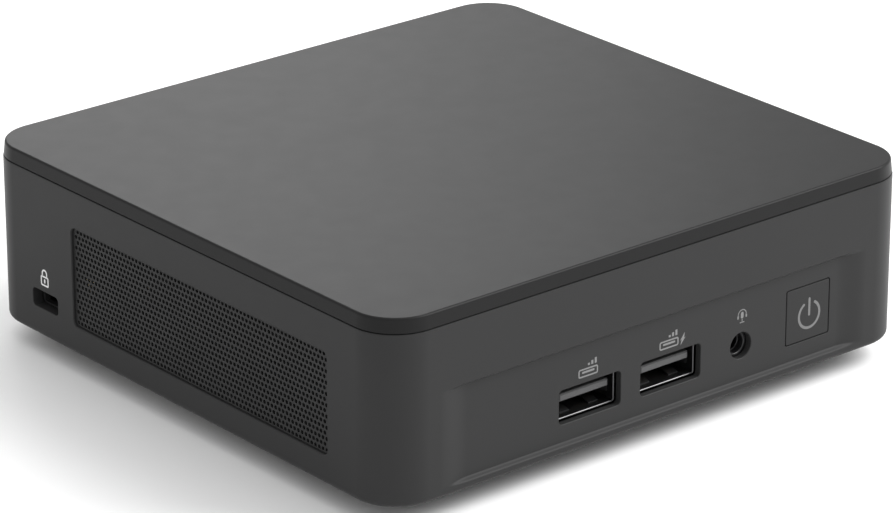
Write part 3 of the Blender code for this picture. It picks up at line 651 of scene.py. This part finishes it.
def make_vents():
    centre = (VENT_CENTRE.y, VENT_CENTRE.z)
    for side, sign in (("left", -1), ("right", 1)):
        outer = sign * (HALF_X - MESH_RECESS)
        inner = outer - sign * MESH_THICKNESS
        name = f"{side}_mesh_panel"
        panel = to_object(name, *mesh_panel_data(outer, inner), MESH, "base", 40)
        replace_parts(panel, f"{side}_vent_mesh")
        frame_width = 0.3 * MM
        shape = rounded(centre, VENT_SIZE.y, VENT_SIZE.z, MM)
        proud = outer + sign * 0.03 * MM
        rings = []
        for level, grow in (
            (inner, 0),
            (proud, 0),
            (proud, -frame_width),
            (inner, -frame_width),
        ):
            rings.append([stand(p, "x", level) for p in shape(grow)])
        to_object(f"{side}_mesh_border", *loft_data(rings, True), MESH, "base")


# -------- printed marks


def stroke(points, width, face, closed=False):
    """A printed line on a face, given as its axis, its level and which way it faces."""
    axis, level, way = face
    return ribbon_data(points, width, axis, level, way * INK, closed)


def patch(outline, face):
    """A printed shape, filled in."""
    axis, level, way = face
    rings = [[stand(p, axis, z) for p in outline] for z in (level, level + way * INK)]
    return loft_data(rings)


def port_mark(x, z, width, height):
    """A socket seen end on: a rounded outline with a bar in its upper half."""
    line = 0.26 * MM
    outline = rounded((x, z), width - line, height - line, 0.25 * MM, 3)()
    bar = [(x - width * 0.28, z + 0.1 * MM), (x + width * 0.28, z + 0.1 * MM)]
    return [stroke(outline, line, FRONT, closed=True), stroke(bar, line * 1.4, FRONT)]


def speed_mark(x, z):
    """Three bars that climb."""
    parts = []
    for i in range(3):
        left, top = x + i * 0.75 * MM, z + (0.4 + 0.3 * i) * MM
        right = left + 0.45 * MM
        parts.append(patch([(left, z), (right, z), (right, top), (left, top)], FRONT))
    return parts


def bolt_mark(x, z):
    """A lightning flash, in two leaning triangles."""
    shape = [(0.2, 0), (1.0, 1.2), (0.1, 0.85), (1.15, 2.2), (0.45, 0.95), (1.3, 1.3)]
    points = [(x + u * MM, z + v * MM) for u, v in shape]
    return [patch([points[i] for i in corners], FRONT) for corners in ((0, 5, 4), (3, 2, 1))]


def make_front_marks():
    for number, node in enumerate(USB_NODES, 1):
        x = middle(node).x
        parts = port_mark(x - 0.5 * MM, 17.2 * MM, 4.3 * MM, 1.55 * MM)
        parts += speed_mark(x - 0.6 * MM, 18.35 * MM)
        if number == 2:
            parts += bolt_mark(x + 1.9 * MM, 16.2 * MM)
        to_object(f"usb_{number}_mark", *merge(parts), INK_GREY, "base")
    make_headset_mark()
    make_lock_mark()
    make_power_symbol()


def make_headset_mark():
    """A headband over a microphone on its stand."""
    x, z = JACK.x + 0.15 * MM, 17.9 * MM
    line, ear = 0.17 * MM, 0.95 * MM
    parts = [stroke(arc((x, z), ear, 0, 180, 16), line, FRONT)]
    for at in (x - ear, x + ear):
        parts.append(stroke([(at, z - 0.1 * MM), (at, z - 0.45 * MM)], 2 * line, FRONT))
    parts.append(stroke([(x, z + 0.25 * MM), (x, z - 0.35 * MM)], 0.62 * MM, FRONT))
    parts.append(stroke([(x, z - 0.8 * MM), (x, z - 1.25 * MM)], line, FRONT))
    foot = [(x - 0.45 * MM, z - 1.35 * MM), (x + 0.45 * MM, z - 1.35 * MM)]
    parts.append(stroke(foot, line, FRONT))
    to_object("headset_mark", *merge(parts), INK_GREY, "base")


def make_lock_mark():
    """A padlock above the slot."""
    y, z, line = LOCK.y, 13.9 * MM, 0.3 * MM
    width, height, bow = 2.3 * MM, 1.9 * MM, 0.65 * MM
    body = rounded((y, z + height / 2), width - line, height - line, 0.2 * MM, 3)()
    shackle = [(y - bow, z + height)]
    shackle += list(reversed(arc((y, z + height + 0.45 * MM), bow, 0, 180, 12)))
    shackle.append((y + bow, z + height))
    keyhole = [(y, z + 1.15 * MM), (y, z + 0.75 * MM)]
    parts = [stroke(body, line, LEFT, closed=True), stroke(shackle, line, LEFT)]
    parts.append(stroke(keyhole, 0.4 * MM, LEFT))
    to_object("lock_mark", *merge(parts), INK_WHITE, "base")


def make_power_symbol():
    """A ring open at the top, with a bar through the opening."""
    x, z = BUTTON_CENTRE.x + 0.35 * MM, BUTTON_CENTRE.z - 0.5 * MM
    ring = arc((x, z), 2.42 * MM, 122, 418, 48)
    bar = [(x, z), (x, z + 2.93 * MM)]
    parts = [stroke(line, 0.48 * MM, FRONT) for line in (ring, bar)]
    to_object("power_symbol", *merge(parts), SYMBOL, "power_button")


# -------- front ports


def finger_data(centre, width, mouth, rise, side):
    """A spring finger stamped from a socket's wall, bowed into the opening."""
    steps, length, thick = 8, 5.5 * MM, 0.12 * MM
    rings = []
    for i in range(steps + 1):
        share = i / steps
        y = mouth + (1.6 * MM + length * share)
        bow = rise * math.sin(math.pi * min(share * 1.15, 1)) + 0.02 * MM
        ring = []
        for across, lift in ((-1, 0), (1, 0), (1, 1), (-1, 1)):
            off = bow + lift * thick
            if side == "bottom":
                ring.append((centre[0] + across * width / 2, y, centre[1] + off))
            else:
                way = -1 if side == "right" else 1
                ring.append((centre[0] + way * off, y, centre[1] + across * width / 2))
        rings.append(ring)
    return loft_data(rings)


def usb_socket(name, node):
    """A stamped shell with a rolled mouth, and its spring fingers."""
    low, high, centre, size = extent(node)
    wall, lip = 0.3 * MM, 0.1 * MM
    shape = rounded((centre.x, centre.z), size.x, size.z, 0.5 * MM)
    mouth, end = low.y, high.y
    stations = [(end, -lip), (end - lip, 0), (mouth + lip, 0), (mouth, -lip)]
    stations += [(mouth, -wall + lip), (mouth + lip, -wall), (end - MM, -wall)]
    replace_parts(rod(f"{name}_can", shape, "y", stations, STEEL, "base"), node)
    fingers = []
    for x in (-3.2 * MM, 3.2 * MM):
        place = (centre.x + x, low.z + wall)
        fingers.append(finger_data(place, 2.1 * MM, mouth, 0.55 * MM, "bottom"))
    for side, x in (("left", low.x + wall), ("right", high.x - wall)):
        fingers.append(finger_data((x, centre.z - 0.6 * MM), 1.6 * MM, mouth, 0.5 * MM, side))
    to_object(f"{name}_fingers", *merge(fingers), SPRING, "base")


def tongue(name, node, contacts, finish=TONGUE):
    """A socket's tongue with a chamfered tip and contacts along its lower face."""
    low, high, centre, size = extent(node)
    out = -1 if centre.y < 0 else 1
    tip, root = (low.y, high.y) if out < 0 else (high.y, low.y)
    shape = rounded((centre.x, centre.z), size.x, size.z, 0.15 * MM, 3)
    edge = min(0.25 * MM, size.z / 4)
    stations = [(root, 0), (tip - out * edge, 0), (tip, -edge)]
    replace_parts(rod(f"{name}_bar", shape, "y", stations, finish, "base"), node)
    pads = []
    pitch = size.x / (contacts + 1)
    for i in range(contacts):
        x = low.x + (i + 1) * pitch
        y = sorted((tip - out * 0.8 * MM, tip - out * min(6 * MM, size.y * 0.8)))
        pad_low = (x - pitch * 0.28, y[0], low.z - 0.08 * MM)
        pads.append(block_data(pad_low, (x + pitch * 0.28, y[1], low.z + 0.1 * MM), 0.03 * MM))
    to_object(f"{name}_contacts", *merge(pads), GOLD, "base")


def make_jack():
    """The headset socket: a barrel with a steel sleeve in its bore."""
    low, high, _, size = extent("headset_jack")
    centre = (JACK.x, JACK.z)
    mouth, end = low.y, high.y
    outer, bore, body = 2.25 * MM, 1.8 * MM, size.x / 2
    shoulder = -INNER_Y + 0.3 * MM
    edge = 0.12 * MM
    profile = [(outer - edge, mouth), (outer, mouth + edge), (outer, shoulder), (body, shoulder)]
    profile += [(body, end), (bore, end), (bore, mouth + edge), (bore + edge, mouth)]
    barrel = to_object("headset_barrel", *ring_data(profile, centre, "y"), BLACK, "base")
    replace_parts(barrel, "headset_jack")
    start, stop = mouth + 1.4 * MM, mouth + 4 * MM
    inner = bore - 0.12 * MM
    sleeve = [(bore, start), (bore, stop), (inner, stop), (inner, start + 0.05 * MM)]
    sleeve = to_object("headset_sleeve", *ring_data(sleeve, centre, "y"), SPRING, "base")


def make_button():
    """The cap with its hidden flange, and the plunger behind it."""
    low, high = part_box("power_button_cap")
    x, z = BUTTON_CENTRE.x, BUTTON_CENTRE.z
    shape = rounded((x, z), BUTTON_SIDE, BUTTON_SIDE, 0.35 * MM)
    flange = (high.x - low.x - BUTTON_SIDE) / 2
    front, edge = low.y, 0.1 * MM
    stop, back = -INNER_Y + 0.2 * MM, -INNER_Y + 0.7 * MM
    stations = [(front, -edge), (front + 0.4 * edge, -0.3 * edge), (front + edge, 0)]
    stations += [(stop, 0), (stop, flange), (back, flange)]
    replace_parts(rod("button_cap", shape, "y", stations, BUTTON, "power_button", 25), "power_button_cap")
    pin = disc((x, z - 0.6 * MM), MM, 24)
    stations = [(back - 0.1 * MM, 0), (high.y - 0.2 * MM, 0), (high.y, -0.2 * MM)]
    rod("button_plunger", pin, "y", stations, BUTTON, "power_button")


def make_front_ports():
    for number, node in enumerate(USB_NODES, 1):
        usb_socket(f"front_usb_{number}", node)
        tongue(f"front_usb_{number}_tongue", f"front_usb_{number}_tongue", 4)
    make_jack()
    make_button()


# -------- rear


def hdmi_shape(centre, width, height):
    """Square shoulders above, leaning in below."""

    def outline(grow=0):
        x, z = centre
        w, h = width / 2 + grow, height / 2 + grow
        right = [(w, h), (w, -0.25 * h), (w - 0.28 * h, -0.42 * h), (w - 0.75 * h, -h)]
        return [(x + u, z + v) for u, v in right] + [(x - u, z + v) for u, v in reversed(right)]

    return outline


def rear_shell(node, shape_of):
    """A socket's shell that opens to the back."""
    low, high, centre, size = extent(node)
    shape = shape_of((centre.x, centre.z), size.x, size.z)
    wall, lip = 0.35 * MM, 0.08 * MM
    mouth, end = high.y, low.y
    stations = [(end, 0), (mouth - lip, 0), (mouth, -lip), (mouth, -wall + lip)]
    stations += [(mouth - lip, -wall), (end + MM, -wall)]
    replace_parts(rod(f"{node}_can", shape, "y", stations, STEEL, "base"), node)
    return shape


def usb_c_shape(centre, width, height):
    return rounded(centre, width, height, height / 2 - 0.05 * MM, 10)


def make_rear_panel():
    """The panel with a hole for each port and the row of exhaust slots."""
    low, high = REAR_LOW, REAR_HIGH
    centre = ((low.x + high.x) / 2, (low.z + high.z) / 2)
    shape = rounded(centre, high.x - low.x, high.z - low.z, 0.6 * MM)
    edge = 0.1 * MM
    stations = [(low.y, 0), (high.y - edge, 0), (high.y, -edge)]
    panel = rod("rear_panel", shape, "y", stations, DARK_STEEL, "base")
    holes = []
    for node, shape_of, gap in REAR_SHELLS:
        _, _, spot, size = extent(node)
        holes.append(shape_of((spot.x, spot.z), size.x + gap, size.z + gap))
    jack, stack = middle("power_jack_body"), middle("rear_usb_stack_shell")
    holes.append(disc((jack.x, jack.z), 3.6 * MM))
    holes.append(rounded((middle("lan_jack").x, 10.5 * MM), 14.4 * MM, 9.2 * MM, 0.3 * MM))
    holes.append(rounded((stack.x, stack.z), 13.6 * MM, 13.8 * MM, 0.3 * MM))
    for i in range(27):
        slot_centre = ((i - 13) * 3.6 * MM, 26 * MM)
        holes.append(rounded(slot_centre, 2.2 * MM, 9 * MM, 0.7 * MM, 4))
    carve(panel, [flared(hole, "y", high.y, low.y - MM, 0.06 * MM) for hole in holes])
    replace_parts(panel, "rear_io_panel")


REAR_SHELLS = [
    ("hdmi_1_shell", hdmi_shape, 0.4 * MM),
    ("hdmi_2_shell", hdmi_shape, 0.4 * MM),
    ("usb_c_1_shell", usb_c_shape, 0.3 * MM),
    ("usb_c_2_shell", usb_c_shape, 0.3 * MM),
]


def make_rear_ports():
    for node, shape_of, _ in REAR_SHELLS:
        rear_shell(node, shape_of)
    for number in (1, 2):
        tongue(f"hdmi_{number}_tongue", f"hdmi_{number}_tongue", 10, BLACK)
        tongue(f"usb_c_{number}_tongue", f"usb_c_{number}_tongue", 6, BLACK)
    for place in ("lower", "upper"):
        tongue(f"rear_usb_{place}_tongue", f"rear_usb_{place}_tongue", 4)
    make_lan_details()
    make_rear_marks()


def make_lan_details():
    """The LAN jack's eight springs and its two lamps."""
    low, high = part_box("lan_jack")
    x = (low.x + high.x) / 2
    springs = []
    for i in range(8):
        at = x + (i - 3.5) * 1.02 * MM
        rings = []
        for y, z in ((37.2, 14.6), (44, 12.2), (50.5, 14.2), (53.5, 14.7)):
            ring = []
            for u, v in ((-0.17, 0), (0.17, 0), (0.17, 0.2), (-0.17, 0.2)):
                ring.append((at + u * MM, y * MM, (z + v - 0.1) * MM))
            rings.append(ring)
        springs.append(loft_data(rings))
    to_object("lan_springs", *merge(springs), GOLD, "base")
    for name, side, finish in (("green", -1, LAMP_GREEN), ("amber", 1, LAMP_AMBER)):
        centre = (x + side * 5.3 * MM, 7.3 * MM)
        shape = rounded(centre, 2.4 * MM, 1.6 * MM, 0.25 * MM, 4)
        stations = [(high.y - 0.5 * MM, 0), (high.y + 0.1 * MM, 0), (high.y + 0.2 * MM, -0.1 * MM)]
        rod(f"lan_lamp_{name}", shape, "y", stations, finish, "base")


def make_rear_marks():
    """Generic pictograms under the exhaust slots."""
    z, line, half = 19 * MM, 0.22 * MM, 0.7 * MM
    for number in (1, 2):
        x = middle(f"hdmi_{number}_shell").x
        screen = rounded((x, z), 2.6 * MM, 1.7 * MM, 0.2 * MM, 3)()
        foot = [(x - half, z - 1.35 * MM), (x + half, z - 1.35 * MM)]
        parts = [stroke(screen, line, REAR, closed=True), stroke(foot, line, REAR)]
        to_object(f"display_{number}_mark", *merge(parts), INK_GREY, "base")
        x = middle(f"usb_c_{number}_shell").x
        outline = rounded((x, z - 0.6 * MM), 3 * MM, 1.2 * MM, 0.58 * MM, 5)()
        bar = [(x - half, z - 0.6 * MM), (x + half, z - 0.6 * MM)]
        parts = [stroke(outline, line, REAR, closed=True), stroke(bar, line, REAR)]
        to_object(f"usb_c_{number}_mark", *merge(parts), INK_GREY, "base")
    centre = (middle("power_jack_body").x, 17 * MM)
    ring, dot = disc(centre, 0.9 * MM, 24)(), disc(centre, 0.3 * MM, 12)()
    parts = [stroke(ring, line, REAR, closed=True), patch(dot, REAR)]
    to_object("power_inlet_mark", *merge(parts), INK_GREY, "base")
    x = middle("lan_jack").x
    parts = []
    for u, v in ((-0.9, -0.9), (0.9, -0.9), (0, 0.8)):
        box = rounded((x + u * MM, z + (v - 0.6) * MM), MM, 0.8 * MM, 0.08 * MM, 2)()
        parts.append(patch(box, REAR))
    stem = [(x, z), (x, z - 0.9 * MM)]
    yoke = [(x - 0.9 * MM, z - 0.7 * MM), (x + 0.9 * MM, z - 0.7 * MM)]
    parts += [stroke(path, line, REAR) for path in (stem, yoke)]
    to_object("network_mark", *merge(parts), INK_GREY, "base")


# -------- underside


def make_feet():
    for node in sorted(n for n in NODES if n.startswith("foot_")):
        _, high, (x, y, _), size = extent(node)
        outer, top = size.x / 2, high.z
        well, hole, ledge = 3.1 * MM, 1.7 * MM, 1.7 * MM
        edge = 0.6 * MM
        profile = [(outer, top)]
        for point in arc((outer - edge, edge), edge, 0, -90, 6):
            profile.append(point)
        profile += [(well + 0.2 * MM, 0), (well, 0.2 * MM), (well, ledge), (hole, ledge)]
        profile.append((hole, top))
        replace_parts(to_object(f"{node}_rubber", *ring_data(profile, (x, y)), RUBBER, "base"), node)
        make_screw(node.replace("foot_", "cover_screw_"))


def make_screw(node):
    """A pan-head screw, its head down in the foot, with a cross cut in it."""
    low, high, (x, y, _), size = extent(node)
    head, shank = size.x / 2, 1.15 * MM
    crown, under = low.z, low.z + 0.95 * MM
    profile = [(0, high.z), (0.8 * MM, high.z), (shank, high.z - 0.4 * MM), (shank, under)]
    profile += [(head, under), (head, crown + 0.5 * MM), (head - 0.25 * MM, crown + 0.18 * MM)]
    profile += [(head - 0.8 * MM, crown), (0, crown)]
    screw = to_object(f"{node}_head", *turned_data(profile, (x, y)), SCREW, "base")
    arm, half = 1.35 * MM, 0.32 * MM
    base, deep = crown - MM, crown + 0.6 * MM
    for u, v in ((arm, half), (half, arm)):
        carve(screw, [block_data((x - u, y - v, base), (x + u, y + v, deep), 0.05 * MM)])
    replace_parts(screw, node)


# -------- inside


def make_impeller():
    """A hub with a ring of thin swept blades on a disc."""
    low, high, (x, y, _), size = extent("fan_impeller")
    reach, hub = size.x / 2, 9.5 * MM
    base, top = low.z, high.z
    profile = [(hub - 1.2 * MM, base), (hub, base), (hub, top - MM), (hub - 0.3 * MM, top - 0.3 * MM)]
    profile += [(hub - MM, top), (1.15 * MM, top), (1.15 * MM, top - MM), (hub - 1.2 * MM, top - MM)]
    parts = [ring_data(profile, (x, y), "z", 64)]
    disc_low = base + 2.5 * MM
    plate = [(hub - 0.1 * MM, disc_low), (reach - 4 * MM, disc_low)]
    plate += [(reach - 4 * MM, disc_low + 0.5 * MM), (hub - 0.1 * MM, disc_low + 0.5 * MM)]
    parts.append(ring_data(plate, (x, y), "z", 64))
    blades = 41
    for blade in range(blades):
        rings = []
        for i in range(7):
            share = i / 6
            radius = hub - 0.2 * MM + (reach - hub) * share
            angle = math.radians(360 * blade / blades + 34 * share * share)
            across = 0.28 * MM / radius
            ring = []
            for turn, z in ((-across, base), (across, base), (across, top), (-across, top)):
                px, py = radius * math.cos(angle + turn), radius * math.sin(angle + turn)
                ring.append((x + px, y + py, z))
            rings.append(ring)
        parts.append(loft_data(rings))
    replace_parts(to_object("impeller_blades", *merge(parts), FAN_PLASTIC, "impeller"), "fan_impeller")


def scatter(name, spots, finish, edge=0.08 * MM):
    """Many small boxes in one piece. A spot is a middle, a size and a height, in millimetres."""
    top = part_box("mainboard")[1].z
    parts = []
    for x, y, width, depth, height in spots:
        low = ((x - width / 2) * MM, (y - depth / 2) * MM, top - 0.02 * MM)
        high = ((x + width / 2) * MM, (y + depth / 2) * MM, top + height * MM)
        parts.append(block_data(low, high, min(edge, width * MM / 5, depth * MM / 5)))
    to_object(name, *merge(parts), finish, "base")


def make_board_parts():
    """Chips, coils, capacitors and connectors on the board, clear of the cooler."""
    coils = [(47.6, -30 + 7 * i, 6, 6, 3.2) for i in range(9)]
    scatter("board_coils", coils, FERRITE, 0.5 * MM)
    chips = [(-47, 10, 7, 7, 0.9), (-48, -12, 6, 8, 1), (-20, -44, 9, 9, 0.9), (2, -42, 6, 5, 0.9)]
    chips += [(-36, -43, 6, 6, 1), (49, 34, 5, 5, 0.9), (-47.5, 26, 6, 5, 0.9), (22, -44, 7, 6, 1)]
    chips += [(-48, -27, 6, 6, 0.9), (24, 30, 5, 4, 0.9)]
    scatter("board_chips", chips, CHIP)
    draw = random.Random(7)
    small, ends = [], []
    for _ in range(150):
        x, y = draw.uniform(-51, 51), draw.uniform(-50, 46)
        size = draw.choice(((1, 0.5), (0.5, 1), (1.6, 0.8), (0.8, 1.6)))
        near_fan = -43.5 < x < 15.5 and y > -36
        near_cooler = 14 < x < 46 and y > -22
        in_corner = abs(x) > 41 and (y < -37 or y > 33)
        at_rear = y > 31
        near_chip = any(abs(x - c[0]) < c[2] / 2 + 1.6 and abs(y - c[1]) < c[3] / 2 + 1.6 for c in chips)
        near_coil = x > 43 and y < 30
        at_button = 29 < x < 41 and y < -47
        if near_fan or near_cooler or in_corner or at_rear or near_chip or near_coil or at_button:
            continue
        small.append((x, y, *size, 0.5))
        along = size[0] > size[1]
        for side in (-1, 1):
            dx, dy = (side * size[0] / 2, 0) if along else (0, side * size[1] / 2)
            end = (0.35, size[1] + 0.06) if along else (size[0] + 0.06, 0.35)
            ends.append((x + dx, y + dy, *end, 0.53))
    scatter("board_capacitors", small, CERAMIC, 0.04 * MM)
    scatter("board_solder_ends", ends, SOLDER, 0.04 * MM)
    headers = [(-8, -46.5, 9, 3.4, 3), (12, -47, 7, 3.4, 3), (-49, -36, 3.4, 6, 3)]
    scatter("board_headers", headers, TONGUE, 0.2 * MM)
    pads = []
    for x, y, width, depth, _ in chips:
        count = int(width / 0.8)
        for i in range(count):
            at = x + (i - (count - 1) / 2) * 0.8
            for side in (-1, 1):
                pads.append((at, y + side * (depth / 2 + 0.3), 0.35, 0.7, 0.15))
    scatter("board_chip_legs", pads, SOLDER, 0.03 * MM)


def cable(name, points, radius, finish):
    """A short wire fixed at both ends inside the case."""
    curve = bpy.data.curves.new(name, "CURVE")
    curve.dimensions = "3D"
    curve.bevel_depth = radius
    curve.bevel_resolution = 3
    curve.use_fill_caps = True
    spline = curve.splines.new("BEZIER")
    spline.bezier_points.add(len(points) - 1)
    for knot, point in zip(spline.bezier_points, points):
        knot.co = [c * MM for c in point]
        knot.handle_left_type = knot.handle_right_type = "AUTO"
    guide = bpy.data.objects.new(name, curve)
    show(guide)
    bpy.context.view_layer.update()
    graph = bpy.context.evaluated_depsgraph_get()
    mesh = bpy.data.meshes.new_from_object(guide.evaluated_get(graph))
    bpy.data.objects.remove(guide)
    verts = [v.co.copy() for v in mesh.vertices]
    faces = [tuple(p.vertices) for p in mesh.polygons]
    bpy.data.meshes.remove(mesh)
    to_object(name, verts, faces, finish, "base", 60)


def make_wires():
    """The fan's lead and the two aerial leads, clipped down inside."""
    for i in range(3):
        shift = 0.9 * i
        points = [(-12 + shift, -46.3, 19.2), (-12 + shift, -42, 19.6), (-20 + shift, -37.5, 20)]
        points += [(-31 + shift, -32, 20.5), (-34 + shift, -30, 22)]
        cable(f"fan_wire_{i + 1}", points, 0.35 * MM, WIRE)
    for number, x in enumerate((-52.6, -53.6), 1):
        points = [(x, 44, 24), (x, 20, 23.4), (x, -10, 23.4), (x, -36, 24.5)]
        cable(f"aerial_lead_{number}", points, 0.4 * MM, WIRE)


def make_fan_screws():
    """Three small screws that hold the blower's cover."""
    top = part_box("fan_cover")[1].z
    parts = []
    for x, y in ((-39, 20), (11, 20), (-14, -32.5)):
        centre = (x * MM, y * MM)
        profile = [(0, top - 0.1 * MM), (1.3 * MM, top - 0.1 * MM), (1.3 * MM, top + 0.35 * MM)]
        profile += [(MM, top + 0.6 * MM), (0.5 * MM, top + 0.62 * MM), (0.4 * MM, top + 0.3 * MM)]
        profile.append((0, top + 0.25 * MM))
        parts.append(turned_data(profile, centre, "z", 24))
    to_object("fan_cover_screws", *merge(parts), SCREW, "base")


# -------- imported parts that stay

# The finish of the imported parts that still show, and how much their edges are eased, in mm
KEPT = {
    (DARK_STEEL, 0.15): ["bottom_cover"],
    (DARK_STEEL, 0.12): ["fan_cover"],
    (DARK_STEEL, 0.1): ["lock_slot_plate"],
    (STEEL, 0.3): ["clock_battery"],
    (STEEL, 0.1): ["lan_jack", "rear_usb_stack_shell"],
    (COPPER, 0.15): ["cooler_plate"],
    (COPPER, 0.2): ["fan_stator"],
    (COPPER, 0): ["heat_pipe_inner", "heat_pipe_outer"],
    (ALUMINIUM, 0): ["cooling_fins"],
    (BLACK, 0.15): ["drive_socket", "memory_socket_1", "memory_socket_2", "power_jack_body"],
    (BLACK, 0.2): ["power_switch"],
    (FAN_PLASTIC, 0.12): ["fan_housing"],
    (SCREW, 0.1): ["fan_shaft"],
    (SCREW, 0.2): ["power_jack_pin"],
    (CLEAR, 0.15): ["power_light_guide"],
    (BOARD, 0): ["mainboard"],
    (BOARD, 0.06): ["memory_module_1", "memory_module_2", "radio_card", "solid_state_drive"],
    (BOARD, 0.1): ["processor"],
    (BRASS, 0.12): STANDOFFS,
}


def dress_kept_parts():
    """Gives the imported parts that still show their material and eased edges."""
    for node, finish, edge in [(n, *look) for look, nodes in KEPT.items() for n in nodes]:
        obj = NODES[node]
        for slot_at in obj.material_slots:
            slot_at.material = finish
        weld = obj.modifiers.new("weld", "WELD")
        weld.merge_threshold = 0.001 * MM
        if edge:
            bevel = obj.modifiers.new("edges", "BEVEL")
            bevel.width = edge * MM
            bevel.segments = 2
            bevel.limit_method = "ANGLE"
            bevel.angle_limit = math.radians(50)
            bevel.harden_normals = True
        if node.startswith("heat_pipe"):
            smooth = obj.modifiers.new("round", "SUBSURF")
            smooth.levels = smooth.render_levels = 2


# -------- studio


def look_at(obj, target):
    direction = Vector(target) - obj.location
    obj.rotation_euler = direction.to_track_quat("-Z", "Y").to_euler()


def softbox(name, place, size, power, target=(0, 0, 0.02)):
    data = bpy.data.lights.new(name, "AREA")
    data.shape = "RECTANGLE"
    data.size, data.size_y = size
    data.energy = power
    obj = bpy.data.objects.new(name, data)
    obj.location = place
    show(obj)
    look_at(obj, target)
    return obj


SKY = 0.85
# Each softbox: its place, its size, its power and what it faces
LIGHTS = {
    "back_panel": ((0.245, 0.497, 0.28), (0.24, 0.3), 0.225, (-0.05, 0.03, 0.037)),
    "back_wide": ((0.3, 0.48, 0.3), (0.3, 0.3), 0.425, (-0.05, 0.03, 0.037)),
    "key_box": ((0.8, -0.62, 0.9), (0.9, 0.9), 20.0, (0, 0, 0.02)),
    "top_box": ((-0.1, 0.1, 1.3), (1.2, 1.2), 2.4, (0, 0, 0.02)),
}


def make_studio():
    world = bpy.data.worlds.new("studio")
    bpy.context.scene.world = world
    world.use_nodes = True
    back = world.node_tree.nodes["Background"]
    back.inputs["Color"].default_value = (1, 1, 1, 1)
    back.inputs["Strength"].default_value = SKY
    reach = 8
    corners = [(-reach, -reach, 0), (reach, -reach, 0), (reach, reach, 0), (-reach, reach, 0)]
    floor = to_object("floor", corners, [(0, 1, 2, 3)], FLOOR, None)
    for name, (place, size, power, target) in LIGHTS.items():
        softbox(name, place, size, power, target)
    bpy.context.scene.view_settings.view_transform = "Standard"


def make_camera():
    data = bpy.data.cameras.new("camera")
    data.lens = CAMERA_LENS
    data.sensor_width = 36
    data.shift_x, data.shift_y = CAMERA_SHIFT
    data.clip_start, data.clip_end = 0.01, 50
    camera = bpy.data.objects.new("camera", data)
    camera.location = CAMERA_PLACE
    camera.rotation_euler = (CAMERA_PITCH, 0, CAMERA_YAW)
    show(camera)
    bpy.context.scene.camera = camera


make_camera()
make_studio()
make_housing()
make_lid()
make_vents()
make_front_marks()
make_front_ports()
make_rear_panel()
make_rear_ports()
make_feet()
make_impeller()
make_board_parts()
make_wires()
make_fan_screws()
dress_kept_parts()

bpy.context.view_layer.update()
